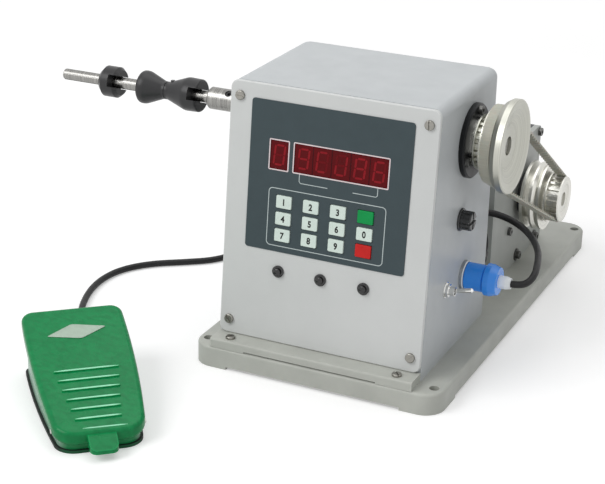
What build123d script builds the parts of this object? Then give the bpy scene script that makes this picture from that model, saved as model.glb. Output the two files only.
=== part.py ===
"""Bench coil winding machine with a counter panel, belt drive and foot pedal.

Millimetres, +Z up. The origin is the centre of the base's mounting hole
pattern, on the surface the machine stands on. -Y is the front, where the
operator sits, and the winding shaft points along -X.
"""
from build123d import *
import math
import os

# ---------------------------------------------------------------- base
base_width = 172.0
base_length = 324.0
base_top = 14.4
pad_height = 2.0            # the corner pads stand this far below the middle
pad_width = 25.5
pad_length = 32.0
base_corner_radius = 14.0
base_edge_radius = 2.0
mount_inset_x = 7.0         # from the base's edges to the hole centres
mount_inset_y = 12.0
mount_spacing_x = base_width - 2 * mount_inset_x
mount_spacing_y = base_length - 2 * mount_inset_y
mount_hole_radius = 3.25

# ---------------------------------------------------------------- housing
housing_x = -2.0            # the housing stands a little left of the middle
housing_width = 140.0
right_wall_x = housing_x + housing_width / 2
left_wall_x = housing_x - housing_width / 2
housing_wall = 2.5
housing_top = 187.0
housing_rear = -24.8
housing_top_radius = 6.0
housing_rear_radius = 8.0
floor_thickness = 6.0
panel_foot_y = -148.4
panel_lean = 5.5            # degrees from upright
lip_length = 13.0
lip_gap_depth = 1.0
lip_gap_width = 92.0
lip_screw_spacing = 116.0
lip_screw_setback = 7.5

# ---------------------------------------------------------------- front panel
panel_thickness = 3.0
panel_corner_radius = 5.0
panel_screw_side = 6.8
panel_screw_end = 9.5
slotted_head_radius = 3.1
slotted_head_height = 1.8
slotted_slot_width = 0.9
slotted_slot_depth = 0.8
screw_shank_radius = 1.9
overlay_width = 109.0
overlay_bottom = 60.9
overlay_height = 96.6
overlay_thickness = 0.5
overlay_corner_radius = 2.0

# displays: one digit on the left, five digits on the right
digit_width = 12.5
digit_pitch = 12.7
digit_height = 18.6
digit_depth = 7.6
segment_height = 0.15
count_digits = 5
count_window_centre = 7.9
program_window_centre = -34.1
window_row = 123.6
window_margin = 0.4
window_thickness = 2.0
window_recess = 0.2

# keypad, four columns and three rows
key_width = 10.5
key_height = 8.2
key_pitch_across = 18.5
key_pitch_down = 10.9
key_first_column = -28.7
key_top_row = 94.0
key_proud = 0.9
key_travel = 0.5
key_flange = 0.6
key_flange_thickness = 1.0
key_corner_radius = 0.8
sliding_gap = 0.3
key_names = (
    ("key_1", "key_2", "key_3", "key_start"),
    ("key_4", "key_5", "key_6", "key_0"),
    ("key_7", "key_8", "key_9", "key_reset"),
)

# push buttons under the keypad
button_row = 47.9
button_pitch = 29.4
button_centre = -0.8
button_radius = 2.5
button_proud = 3.2
bezel_radius = 3.9
bezel_height = 1.6
barrel_radius = 3.1
barrel_length = 11.0

# control board behind the panel
board_width = 104.0
board_height = 92.0
board_thickness = 1.6
pillar_radius = 2.5
pillar_inset = 4.0
switch_size = 6.0
chip_size = (36.0, 12.0, 3.5)
chip_place = (-20.0, -24.7)   # from the board's centre
relay_size = (20.0, 14.0, 9.0)
relay_place = (24.0, -24.7)
can_radius = 6.0
can_length = 14.0
can_place = (30.0, 19.3)

# ---------------------------------------------------------------- spindle
spindle_y = -75.2
spindle_z = 152.1
spindle_radius = 7.5
spindle_nose_x = -117.0
spindle_seat_radius = 6.0
winding_shaft_radius = 4.0
winding_shaft_tip_x = -232.2
shaft_end_radius = 3.8      # the free end is ground down for formers to slide on
shaft_end_length = 28.0
shaft_chamfer = 0.8
winding_shaft_socket = 24.0
shaft_groove_width = 0.8
shaft_groove_depth = 0.5
shaft_groove_count = 5
nose_screw_x = -101.7
nose_screw_angle = 56.0     # degrees above the front
grub_radius = 2.6
running_gap = 0.05

bearing_radius = 16.0
bearing_width = 9.0
flange_radius = 24.0
flange_thickness = 3.7
bearing_proud = 2.5         # how far the bearing stands out of its flange
flange_screw_circle = 20.0
flange_screw_count = 3
cap_head_radius = 3.0
cap_head_height = 2.5
cap_socket_radius = 1.5
cap_socket_depth = 1.4
cap_shank_radius = 1.9
cap_shank_length = 6.0

disc_x = -30.0
disc_radius = 22.0
disc_thickness = 1.5
disc_slots = 8
fork_gap = 3.0
fork_width = 12.0
fork_depth = 8.0
fork_reach = 6.0

# cones and clamp collar on the winding shaft
inner_cone_length = 26.4
outer_cone_length = 19.4
cone_big_radius = 11.1
cone_neck_radius = 6.1
inner_cone_end = 1.2        # rounding of the big end
outer_cone_end = 2.4
inner_cone_belly = 10.5     # from the big end to where the slope begins
outer_cone_belly = 4.6
cone_neck_land = 1.6
cone_belly_radius = 8.0
neck_screw_from_end = 4.2
cone_slot_width = 8.6
cone_slot_depth = 6.0
cone_gap = 0.5
inner_cone_right = -124.0
cone_slot_angle = 20.0      # degrees, the rest position of the slots
collar_radius = 10.6
collar_right = -186.2
collar_length = 14.5
collar_chamfer = 3.0
collar_slot_depth = 6.0

# ---------------------------------------------------------------- belt drive
belt_pitch = 5.08
belt_teeth = 93
belt_width = 6.4
belt_track = 7.9            # toothed face that the belt runs on
belt_off_wall = 16.8
belt_x = right_wall_x + belt_off_wall
belt_back = 0.75            # from the pitch line to the smooth back
belt_tooth_height = 1.2
belt_tooth_root = 2.4
belt_tooth_tip = 1.3
belt_clearance = 0.2
pitch_line_offset = 0.254   # the pitch line lies this far outside a pulley
large_teeth = 30
small_teeth = 20
groove_depth = 1.75
groove_mouth = 3.2
groove_floor = 2.0
axes_height_difference = 86.0
small_step_width = 5.4
step_flange_thickness = 0.9
step_flange_overhang = 1.6
handwheel_radius = 30.0
handwheel_width = 7.5
handwheel_bevel = 2.0
handwheel_land = 2.0
dish_radius = 13.5
dish_depth = 4.7
shaft_recess = 1.6          # the shaft's end below the floor of the dish

# ---------------------------------------------------------------- motor
motor_radius = 33.0
motor_length = 102.0
motor_flange_thickness = 8.0
motor_cap_length = 9.0
motor_cap_radius = 29.5
motor_shaft_radius = 5.0
motor_screw_spacing = 58.0
motor_screw_margin = 4.5    # from a motor screw's axis to the flange's edge
motor_offset = 8.7          # the geared shaft sits this far below the can's axis
motor_pilot_radius = 15.0
motor_pilot_proud = 1.0
bracket_off_belt = 25.8
bracket_right_x = belt_x - bracket_off_belt
bracket_thickness = 4.0
bracket_front = 8.0
bracket_rear = 125.0
bracket_foot_height = 12.0
bracket_corner_radius = 4.5
bracket_bolt_z = 20.2
bracket_bolt_inset = 17.0
bracket_bolt_count = 3
lug_depth = 10.0
lug_height = 10.4
washer_radius = 4.6
washer_thickness = 1.0
motor_pulley_right = belt_x + 4.2
guard_off_belt = 21.2       # from the belt's middle to the guard disc's outer face
guard_thickness = 2.4
cord_groove_radius = 17.0
drum_off_belt = 14.3
drum_width = 7.0
drum_groove_width = 4.0
drum_groove_depth = 1.6
pulley_neck_radius = 13.0
pulley_neck_width = 2.0

# ---------------------------------------------------------------- right wall
fuse_y = -87.1
fuse_z = 102.7
fuse_collar_radius = 7.4
fuse_collar_thickness = 1.5
fuse_body_radius = 5.8
fuse_body_length = 34.0
fuse_bore_radius = 4.0
fuse_cap_radius = 6.3
fuse_cap_length = 6.6
fuse_cap_flutes = 12
fuse_shank_length = 11.0

toggle_y = -108.1
toggle_z = 62.2
toggle_bushing_radius = 3.0
toggle_bushing_length = 6.5
toggle_bore_radius = 2.3
toggle_nut_flats = 8.0
toggle_nut_height = 2.0
toggle_pivot_depth = 3.0    # below the mouth of the bushing
toggle_lever_length = 15.0
toggle_lever_root = 1.0
toggle_lever_tip = 1.45
toggle_ball_radius = 2.0
toggle_angle = 12.5         # the lever stands this far above level at rest
toggle_body_size = (9.5, 8.0, 13.0)

socket_y = -75.6
socket_z = 60.3
socket_flange_radius = 9.8
socket_flange_thickness = 2.8
socket_barrel_radius = 7.6
socket_barrel_length = 14.0
plug_body_radius = 9.0
plug_body_length = 12.5
plug_groove = 0.8
plug_ring_radius = 10.6
plug_ring_length = 8.5
plug_ring_chamfer = 1.6
plug_gland_radius = 4.3
plug_gland_tip_radius = 3.5
plug_gland_length = 8.0

# ---------------------------------------------------------------- inside
transformer_size = (54.0, 44.0, 46.0)
transformer_x = -30.0
transformer_y = -70.0
winding_bulge = 6.0

# ---------------------------------------------------------------- foot pedal
pedal_toe = (-75.0, -289.5)
pedal_turn = 41.0           # degrees
pedal_length = 118.0
pedal_rear_width = 64.0
pedal_toe_width = 53.0
pedal_side_bulge = 2.5
pedal_rear_corner = 8.0
pedal_toe_corner = 14.0
treadle_rear_height = 41.5
treadle_toe_height = 14.0
treadle_skirt = 9.5
treadle_wall = 2.4
treadle_edge_radius = 3.0
treadle_side_gap = 0.4
treadle_travel = 2.5        # degrees
sole_thickness = 2.0
pedal_wall = 2.2
pedal_floor = 2.0
pivot_from_toe = 13.0
pivot_height = 10.3
pivot_radius = 1.5
rib_count = 6
rib_first = 11.5
rib_pitch = 8.75
rib_width = 1.6
rib_height = 0.9
rib_length = 28.0
rib_growth = 2.45           # each rib is longer than the one before it
tongue_width = 17.0
tongue_length = 12.0
tongue_thickness = 5.0
tongue_drop = 1.6           # from the treadle's edge down to the tongue's root
tongue_fall = 5.0           # from the tongue's root down to its tip
tongue_lap = 3.0
spring_from_toe = 84.0
spring_radius = 4.6
spring_wire = 0.7
spring_turns = 6
switch_from_toe = 101.0
switch_block = (20.0, 8.0, 10.0)
switch_button = 1.0
cord_exit_side = 8.0
cord_exit_height = 12.0
ear_margin = 0.9

# ---------------------------------------------------------------- cord
cord_radius = 2.3
cord_lift = 0.2             # clearance between the cord and what it lies on
coil_quarters = 18          # quarter turns in all, half of them on each of two layers
coil_centre = (-122.0, 62.0)
coil_outer_radius = 27.5
coil_start = 180.0          # degrees; the coil winds clockwise from there
coil_pitch = 5.4            # from turn to turn
coil_rise = 5.2             # from layer to layer
coil_lead = 4.6             # each end leaves straight for one diameter
lead_radius = 1.6
motor_lead_x = 2.0          # where the lead enters the motor's can

floor_line = cord_radius + cord_lift

# From the pedal over the floor to the coil, chosen by hand between its two ends.
pedal_cord_route = (
    (-166.5, -169.5, 8.2),
    (-177.5, -152.5, 3.6),
    (-187.5, -135.0, floor_line),
    (-196.5, -116.0, floor_line),
    (-203.0, -96.0, floor_line),
    (-205.4, -75.5, floor_line),
    (-201.6, -55.5, floor_line),
    (-188.5, -37.0, floor_line),
    (-167.5, -22.4, floor_line),
    (-150.0, -9.0, floor_line),
    (-141.5, 9.0, floor_line),
)
# From the plug, behind the housing and over the base's edge to the coil.
plug_cord_route = (
    (106.9, socket_y, socket_z),
    (111.7, -71.6, 62.6),
    (112.6, -63.6, 65.4),
    (110.4, -53.4, 66.8),
    (107.2, -41.0, 66.2),
    (103.0, -28.0, 65.6),
    (95.5, -12.5, 66.2),
    (84.5, -0.5, 68.6),
    (71.0, 5.0, 72.0),
    (56.5, 2.0, 75.5),
    (43.5, -6.0, 74.0),
    (32.5, -12.0, 65.5),
    (22.0, -14.5, 53.5),
    (10.5, -14.0, 40.5),
    (-3.0, -11.5, 28.5),
    (-20.0, -7.0, 20.0),
    (-41.0, -3.0, 17.3),
    (-63.0, 0.0, 17.6),
    (-82.0, 9.0, 20.5),
    (-93.2, 23.5, 14.0),
)
# The motor lead, from the rear wall to the motor.
motor_lead_route = (
    (62.0, -24.8, 51.5),
    (62.0, -13.0, 52.5),
    (60.0, -8.5, 62.5),
    (54.0, -10.5, 74.0),
    (44.0, -13.0, 84.0),
    (30.0, -9.0, 90.0),
    (16.0, 3.0, 89.0),
    (5.0, 11.5, 79.5),
)

# ---------------------------------------------------------------- worked out
lean = math.radians(panel_lean)
panel_foot_z = base_top + floor_thickness + panel_thickness * math.sin(lean)
floor_top = base_top + floor_thickness
panel_back_y = panel_foot_y + panel_thickness / math.cos(lean)
shell_front_foot = panel_back_y - (panel_foot_z - base_top) * math.tan(lean)
panel_height = (housing_top - panel_foot_z) / math.cos(lean)
panel_plane = Plane(
    origin=(housing_x, panel_foot_y, panel_foot_z),
    x_dir=(1, 0, 0),
    z_dir=(0, -math.cos(lean), math.sin(lean)),
)
large_pitch_radius = belt_pitch * large_teeth / (2 * math.pi)
small_pitch_radius = belt_pitch * small_teeth / (2 * math.pi)
module_front = -window_thickness - window_recess
board_front = module_front - digit_depth
pedal_place = Location((pedal_toe[0], pedal_toe[1], 0), (0, 0, pedal_turn))


def centre_distance():
    """Distance between the two shafts that the belt's length gives."""
    length = belt_pitch * belt_teeth
    distance = length / 2 - math.pi * (large_pitch_radius + small_pitch_radius) / 2
    for _ in range(20):
        angle = math.asin((large_pitch_radius - small_pitch_radius) / distance)
        wrap = large_pitch_radius * (math.pi + 2 * angle) + small_pitch_radius * (math.pi - 2 * angle)
        distance = (length - wrap) / (2 * math.cos(angle))
    return distance


shaft_distance = centre_distance()
motor_z = spindle_z - axes_height_difference
motor_y = spindle_y + math.sqrt(shaft_distance**2 - axes_height_difference**2)
motor_can_z = motor_z + motor_offset
motor_reach = motor_screw_spacing / 2 + motor_screw_margin
drive_angle = math.atan2(motor_z - spindle_z, motor_y - spindle_y)
belt_spread = math.asin((large_pitch_radius - small_pitch_radius) / shaft_distance)


# ---------------------------------------------------------------- helpers
def save(name, shape):
    """Write one node, as one solid or a group of separate solids."""
    solids = shape.solids()
    whole = solids[0] if len(solids) == 1 else Compound(children=list(solids))
    export_step(whole, f"parts/{name}.step")


def group(shapes):
    """Several shapes as one group of their solids."""
    return Compound(children=[solid for shape in shapes for solid in shape.solids()])


def along_x(x, y, z):
    """A plane at x whose normal is +X, with +Y across and +Z up."""
    return Plane(origin=(x, y, z), x_dir=(0, 1, 0), z_dir=(1, 0, 0))


def rod(x_from, x_to, y, z, radius):
    """A cylinder along X."""
    return along_x(min(x_from, x_to), y, z) * extrude(Circle(radius), abs(x_to - x_from))


def turned(points, y, z):
    """A turned solid on the X axis through y and z, from (x, radius) points."""
    outline = Polyline(*[(x, r) for x, r in points], close=True)
    profile = make_face(outline)
    return Pos(0, y, z) * revolve(profile, Axis.X)


def on_panel(u, v, w=0.0):
    """A place on the panel: u across, v up from its foot, w out of its face."""
    return panel_plane * Pos(u, v, w)


def panel_block(u, v, width, height, w_from, w_to, radius=0.0):
    """A block standing on the panel between two depths."""
    outline = RectangleRounded(width, height, radius) if radius else Rectangle(width, height)
    return on_panel(u, v, w_from) * extrude(outline, w_to - w_from)


def biarc(start, start_way, end, end_way):
    """Two arcs that leave start and reach end with the given directions."""
    gap = end - start
    ways = start_way + end_way
    a = 2 * (1 - start_way.dot(end_way))
    b = gap.dot(ways)
    c = gap.dot(gap)
    if abs(a) < 1e-9:
        reach = c / (2 * b)
    else:
        reach = (-b + math.sqrt(b * b + a * c)) / a
    middle = (start + end + (start_way - end_way) * reach) * 0.5
    first = TangentArc(start, middle, tangent=start_way)
    second = TangentArc(end, middle, tangent=end_way * -1)
    return [first, second]


def wound_wire(points, ways):
    """One smooth wire through points with the given directions."""
    edges = []
    for index in range(len(points) - 1):
        edges += biarc(points[index], ways[index], points[index + 1], ways[index + 1])
    return Wire([edge for line in edges for edge in line.edges()])


def cord_tube(name, route, radius):
    """A round tube along a hand-laid route, with arcs as large as its runs allow."""
    points = [Vector(*point) for point in route]
    radii = []
    for before, here, after in zip(points, points[1:], points[2:]):
        first = here - before
        second = after - here
        half_turn = math.radians(first.get_angle(second)) / 2
        radii.append(0.45 * min(first.length, second.length) / math.tan(half_turn))
    path = FilletPolyline(*points, radius=radii)
    section = Plane(origin=path @ 0, z_dir=path % 0) * Circle(radius)
    tube = sweep(section, path=path)
    ratio = tube.volume / (math.pi * radius**2 * path.length)
    print(f"{name}: length {path.length:.1f}, least bend {min(radii):.1f}, volume ratio {ratio:.4f}")
    return tube


# ---------------------------------------------------------------- base
def base_plate():
    outline = RectangleRounded(base_width, base_length, base_corner_radius)
    plate = extrude(outline, base_top)
    plate = fillet(plate.faces().sort_by(Axis.Z)[-1].edges(), base_edge_radius)
    across = Box(base_width - 2 * pad_width, base_length + 2, 2 * pad_height)
    along = Box(base_width + 2, base_length - 2 * pad_length, 2 * pad_height)
    plate -= across + along
    corners = GridLocations(mount_spacing_x, mount_spacing_y, 2, 2)
    plate -= corners * Cylinder(mount_hole_radius, 4 * base_top)
    lug_right = bracket_right_x - bracket_thickness
    lug = Pos(lug_right - lug_depth / 2, (bracket_front + bracket_rear) / 2, base_top + lug_height / 2) * Box(
        lug_depth, bracket_rear - bracket_front - 8, lug_height
    )
    plate += lug
    for y in bracket_bolt_places():
        plate -= rod(lug_right - lug_depth - 1, lug_right + 1, y, bracket_bolt_z, cap_shank_radius)
    for x in (-1, 1):
        place = Pos(housing_x + x * lip_screw_spacing / 2, lip_screw_y(), base_top)
        plate -= place * Cylinder(screw_shank_radius, 12)
    return plate


def bracket_bolt_places():
    first = bracket_front + bracket_bolt_inset
    last = bracket_rear - bracket_bolt_inset
    step = (last - first) / (bracket_bolt_count - 1)
    return [first + index * step for index in range(bracket_bolt_count)]


def lip_screw_y():
    return panel_foot_y - lip_screw_setback


def housing_floor():
    """The floor plate inside the housing, with the lip in front of the panel."""
    inner_width = housing_width - 2 * housing_wall - 0.2
    inner_rear = housing_rear - housing_wall - 0.1
    inner_length = inner_rear - shell_front_foot + 1
    inner = Pos(housing_x, inner_rear - inner_length / 2, base_top) * extrude(
        Rectangle(inner_width, inner_length), floor_thickness
    )
    rear_corners = inner.faces().sort_by(Axis.Y)[-1].edges().filter_by(Axis.Z)
    inner = fillet(rear_corners, housing_rear_radius - housing_wall + 0.3)
    lip_front_y = panel_foot_y - lip_length
    lip = Pos(housing_x, (lip_front_y + shell_front_foot) / 2, base_top) * extrude(
        Rectangle(housing_width, shell_front_foot - lip_front_y), floor_thickness
    )
    lip_front = lip.faces().sort_by(Axis.Y)[0]
    lip = fillet(lip_front.edges().sort_by(Axis.Z)[-1], 1.5)
    plate = inner + lip
    gap_length = 9.0
    plate -= Pos(housing_x, panel_foot_y - lip_length, base_top) * Box(
        lip_gap_width, 2 * gap_length, 2 * lip_gap_depth
    )
    for x in (-1, 1):
        place = Pos(housing_x + x * lip_screw_spacing / 2, lip_screw_y(), base_top)
        plate -= place * Cylinder(screw_shank_radius, 4 * floor_thickness)
    return plate


def housing_profile(inset, bottom, front):
    """The housing's side outline, drawn in from its outside by inset."""
    slope = math.tan(lean)
    front_foot = panel_foot_y + front / math.cos(lean)
    low_y = front_foot + (bottom - panel_foot_z) * slope
    high_z = housing_top - inset
    high_y = front_foot + (high_z - panel_foot_z) * slope
    rear_y = housing_rear - inset
    outline = Polyline((low_y, bottom), (high_y, high_z), (rear_y, high_z), (rear_y, bottom), close=True)
    return make_face(outline)


def housing_shell():
    side = along_x(left_wall_x, 0, 0)
    outer = side * extrude(housing_profile(0, base_top, panel_thickness), housing_width)
    rear_corners = outer.faces().sort_by(Axis.Y)[-1].edges().filter_by(Axis.Z)
    outer = fillet(rear_corners, housing_rear_radius)
    top_edges = outer.faces().sort_by(Axis.Z)[-1].edges()
    outer = fillet(top_edges.sort_by(Axis.Y)[1:], housing_top_radius)
    inner_side = along_x(left_wall_x + housing_wall, 0, 0)
    inner_face = housing_profile(housing_wall, base_top - 1, panel_thickness - 20)
    inner = inner_side * extrude(inner_face, housing_width - 2 * housing_wall)
    inner_rear = inner.faces().sort_by(Axis.Y)[-1].edges().filter_by(Axis.Z)
    inner = fillet(inner_rear, housing_rear_radius - housing_wall)
    shell = outer - inner
    shell -= rod(left_wall_x - 5, right_wall_x + 5, spindle_y, spindle_z, bearing_radius + sliding_gap)
    shell -= rod(right_wall_x - 5, right_wall_x + 5, fuse_y, fuse_z, fuse_body_radius + 0.05)
    shell -= rod(right_wall_x - 5, right_wall_x + 5, toggle_y, toggle_z, toggle_bushing_radius + 0.05)
    shell -= rod(right_wall_x - 5, right_wall_x + 5, socket_y, socket_z, socket_barrel_radius + 0.05)
    for wall_x in (left_wall_x, right_wall_x):
        for y, z in flange_screw_places():
            shell -= rod(wall_x - 5, wall_x + 5, y, z, cap_shank_radius)
    shell -= Pos(motor_lead_route[0][0], housing_rear, motor_lead_route[0][2]) * Rot(90, 0, 0) * Cylinder(
        lead_radius + 1.4, 12
    )
    return shell


# ---------------------------------------------------------------- front panel
def window_width(digits):
    return digit_pitch * digits + 2 * window_margin


def key_place(row, column):
    return key_first_column + column * key_pitch_across, key_top_row - row * key_pitch_down


def button_places():
    return [(button_centre + (index - 1) * button_pitch, button_row) for index in range(3)]


def panel_screw_places():
    across = housing_width / 2 - panel_screw_side
    return [(x, v) for x in (-across, across) for v in (panel_screw_end, panel_height - panel_screw_end)]


def board_centre():
    return overlay_bottom + overlay_height / 2


def pillar_places():
    across = board_width / 2 - pillar_inset
    up = board_height / 2 - pillar_inset
    return [(x, board_centre() + v) for x in (-across, across) for v in (-up, up)]


def front_panel():
    middle = panel_height / 2
    plate = panel_block(0, middle, housing_width, panel_height, -panel_thickness, 0, panel_corner_radius)
    plate = chamfer(plate.faces().sort_by(Axis.Y)[0].edges(), 0.6)
    height = digit_height + 2 * window_margin
    for centre, digits in ((count_window_centre, count_digits), (program_window_centre, 1)):
        plate -= panel_block(centre, window_row, window_width(digits), height, -panel_thickness - 1, 1)
    for row in range(3):
        for column in range(4):
            u, v = key_place(row, column)
            opening = (key_width + 2 * sliding_gap, key_height + 2 * sliding_gap)
            plate -= panel_block(u, v, *opening, -panel_thickness - 1, 1)
    for u, v in button_places():
        plate -= on_panel(u, v) * Cylinder(barrel_radius, 4 * panel_thickness)
    for u, v in panel_screw_places():
        plate -= on_panel(u, v) * Cylinder(screw_shank_radius, 4 * panel_thickness)
    for u, v in pillar_places():
        plate += on_panel(u, v, board_front) * extrude(Circle(pillar_radius), -panel_thickness - board_front)
    return plate


def keypad_overlay():
    sheet = panel_block(
        0, board_centre(), overlay_width, overlay_height, 0, overlay_thickness, overlay_corner_radius
    )
    height = digit_height + 2 * window_margin
    for centre, digits in ((count_window_centre, count_digits), (program_window_centre, 1)):
        sheet -= panel_block(centre, window_row, window_width(digits), height, -1, 2)
    for row in range(3):
        for column in range(4):
            u, v = key_place(row, column)
            sheet -= panel_block(u, v, key_width + 2 * sliding_gap, key_height + 2 * sliding_gap, -1, 2)
    return sheet


def display_windows():
    height = digit_height + 2 * window_margin
    panes = Part()
    for centre, digits in ((count_window_centre, count_digits), (program_window_centre, 1)):
        panes += panel_block(centre, window_row, window_width(digits), height, -window_thickness, 0)
    return panes


def digit_module(u):
    """One seven-segment digit with its segments slightly proud."""
    body = panel_block(u, window_row, digit_width, digit_height, board_front, module_front - segment_height)
    bar = 1.5
    half_width = 3.6
    half_height = 6.6
    slant = 0.12
    bars = [(0, v * half_height, 2 * half_width - 2 * bar, bar) for v in (-1, 0, 1)]
    sides = [(across, up) for across in (-1, 1) for up in (-1, 1)]
    bars += [(across * half_width, up * half_height / 2, bar, half_height - bar) for across, up in sides]
    for du, dv, width, height in bars:
        lean_over = dv * slant
        body += panel_block(
            u + du + lean_over, window_row + dv, width, height, module_front - segment_height, module_front
        )
    return body


def digit_modules():
    start = count_window_centre - digit_pitch * (count_digits - 1) / 2
    places = [start + index * digit_pitch for index in range(count_digits)] + [program_window_centre]
    return [digit_module(u) for u in places]


def control_board():
    board = panel_block(
        0, board_centre(), board_width, board_height, board_front - board_thickness, board_front
    )
    key_under = -panel_thickness - sliding_gap - key_flange_thickness
    switch_top = key_under - key_travel - 0.1
    for row in range(3):
        for column in range(4):
            u, v = key_place(row, column)
            board += panel_block(u, v, switch_size, switch_size, board_front, switch_top - 1.5)
            board += on_panel(u, v, switch_top - 1.5) * extrude(Circle(1.7), 1.5)
    chip_depth = board_front - board_thickness
    for place, size in ((chip_place, chip_size), (relay_place, relay_size)):
        width, height, depth = size
        u, v = place[0], board_centre() + place[1]
        board += panel_block(u, v, width, height, chip_depth - depth, chip_depth)
    can = on_panel(can_place[0], board_centre() + can_place[1], chip_depth - can_length)
    return board + can * extrude(Circle(can_radius), can_length)


def key_cap(row, column):
    u, v = key_place(row, column)
    under = -panel_thickness - sliding_gap
    cap = panel_block(u, v, key_width, key_height, under, overlay_thickness + key_proud, key_corner_radius)
    front = cap.faces().sort_by(Axis.Y)[0]
    cap = fillet(front.edges(), 0.35)
    cap += panel_block(
        u, v, key_width + 2 * key_flange, key_height + 2 * key_flange, under - key_flange_thickness, under
    )
    return cap


def button_bezels():
    rings = []
    for u, v in button_places():
        ring = on_panel(u, v) * extrude(Circle(bezel_radius), bezel_height)
        ring = chamfer(ring.faces().sort_by(Axis.Y)[0].edges(), 0.5)
        ring += on_panel(u, v, -barrel_length) * extrude(Circle(barrel_radius), barrel_length)
        ring -= on_panel(u, v) * Cylinder(button_radius + running_gap, 4 * barrel_length)
        rings.append(ring)
    return rings


def push_button(index):
    u, v = button_places()[index]
    plunger = on_panel(u, v, -barrel_length) * extrude(Circle(button_radius), barrel_length + button_proud)
    return fillet(plunger.faces().sort_by(Axis.Y)[0].edges(), 0.8)


# ---------------------------------------------------------------- fasteners
def slotted_screw():
    """A slotted cheese-head screw with its seat at the origin, head up."""
    head = extrude(Circle(slotted_head_radius), slotted_head_height)
    head = fillet(head.faces().sort_by(Axis.Z)[-1].edges(), 0.7)
    slot_z = slotted_head_height - slotted_slot_depth / 2
    head -= Pos(0, 0, slot_z) * Box(slotted_slot_width, 3 * slotted_head_radius, slotted_slot_depth)
    return head + Pos(0, 0, -7) * extrude(Circle(screw_shank_radius - 0.02), 7)


def slotted_screws():
    screws = []
    for index, (u, v) in enumerate(panel_screw_places()):
        screws.append(on_panel(u, v) * Rot(0, 0, 35 + 50 * index) * slotted_screw())
    for side in (-1, 1):
        place = Pos(housing_x + side * lip_screw_spacing / 2, lip_screw_y(), floor_top)
        screws.append(place * Rot(0, 0, 40 * side) * slotted_screw())
    return screws


def cap_screw(washer=False):
    """A socket cap screw with its seat at the origin, head up."""
    seat = washer_thickness if washer else 0.0
    head = Pos(0, 0, seat) * extrude(Circle(cap_head_radius), cap_head_height)
    head = chamfer(head.faces().sort_by(Axis.Z)[-1].edges(), 0.3)
    socket_floor = Pos(0, 0, seat + cap_head_height - cap_socket_depth)
    socket = socket_floor * extrude(RegularPolygon(cap_socket_radius, 6), 2)
    head -= socket
    if washer:
        head += extrude(Circle(washer_radius), washer_thickness)
    return head + Pos(0, 0, -cap_shank_length) * extrude(Circle(cap_shank_radius - 0.02), cap_shank_length)


def flange_screw_places():
    places = []
    for index in range(flange_screw_count):
        angle = math.radians(85 + index * 360 / flange_screw_count)
        y = spindle_y + flange_screw_circle * math.cos(angle)
        z = spindle_z + flange_screw_circle * math.sin(angle)
        places.append((y, z))
    return places


def motor_screw_places():
    half = motor_screw_spacing / 2
    return [(motor_y + a * half, motor_can_z + b * half) for a in (-1, 1) for b in (-1, 1)]


def cap_screws():
    screws = []
    for y, z in flange_screw_places():
        right = Plane(origin=(right_wall_x + flange_thickness, y, z), z_dir=(1, 0, 0))
        left = Plane(origin=(left_wall_x - flange_thickness, y, z), z_dir=(-1, 0, 0))
        screws += [right * cap_screw(), left * cap_screw()]
    for y, z in motor_screw_places():
        screws.append(Plane(origin=(bracket_right_x, y, z), z_dir=(1, 0, 0)) * cap_screw())
    for y in bracket_bolt_places():
        screws.append(Plane(origin=(bracket_right_x, y, bracket_bolt_z), z_dir=(1, 0, 0)) * cap_screw(True))
    return screws


# ---------------------------------------------------------------- spindle
def bearing_flange(wall_x, outward):
    """The black flange that holds one bearing; its boss passes into the wall."""
    face = wall_x + outward * flange_thickness
    points = [
        (wall_x, bearing_radius + 0.02),
        (wall_x, flange_radius),
        (face - outward * 1.0, flange_radius),
        (face, flange_radius - 1.0),
        (face, bearing_radius + 0.02),
    ]
    flange = turned(points, spindle_y, spindle_z)
    for y, z in flange_screw_places():
        flange -= rod(wall_x - 9, wall_x + 9, y, z, cap_shank_radius)
    return flange


def bearing_flanges():
    return [bearing_flange(left_wall_x, -1), bearing_flange(right_wall_x, 1)]


def ball_bearing(wall_x, outward):
    """A ball bearing with its shields set back between the rings."""
    face = wall_x + outward * (flange_thickness + bearing_proud)
    back = face - outward * bearing_width
    bore = spindle_radius + running_gap
    points = [
        (back, bore),
        (back, bearing_radius),
        (face - outward * 0.4, bearing_radius),
        (face, bearing_radius - 0.4),
        (face, bearing_radius - 2.6),
        (face - outward * 0.6, bearing_radius - 2.6),
        (face - outward * 0.6, bore + 2.2),
        (face, bore + 2.2),
        (face, bore),
    ]
    return turned(points, spindle_y, spindle_z)


def spindle_bearings():
    return [ball_bearing(left_wall_x, -1), ball_bearing(right_wall_x, 1)]


def pulley_inner_x():
    return belt_x - belt_track / 2 - step_flange_thickness - small_step_width


def spindle():
    seat_from = pulley_inner_x() - 0.2
    seat_to = handwheel_face_x() - dish_depth - shaft_recess
    points = [
        (spindle_nose_x, 0),
        (spindle_nose_x, spindle_radius - 0.8),
        (spindle_nose_x + 0.8, spindle_radius),
        (seat_from, spindle_radius),
        (seat_from, spindle_seat_radius),
        (seat_to - 0.6, spindle_seat_radius),
        (seat_to, spindle_seat_radius - 0.6),
        (seat_to, 0),
    ]
    body = turned(points, spindle_y, spindle_z)
    body -= rod(
        spindle_nose_x - 1, spindle_nose_x + winding_shaft_socket, spindle_y, spindle_z, winding_shaft_radius
    )
    body -= nose_hole()
    return body


def nose_direction():
    angle = math.radians(nose_screw_angle)
    return (0, -math.cos(angle), math.sin(angle))


def nose_hole():
    start = Plane(origin=(nose_screw_x, spindle_y, spindle_z), z_dir=nose_direction())
    return start * extrude(Circle(grub_radius), 2 * spindle_radius)


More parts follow.
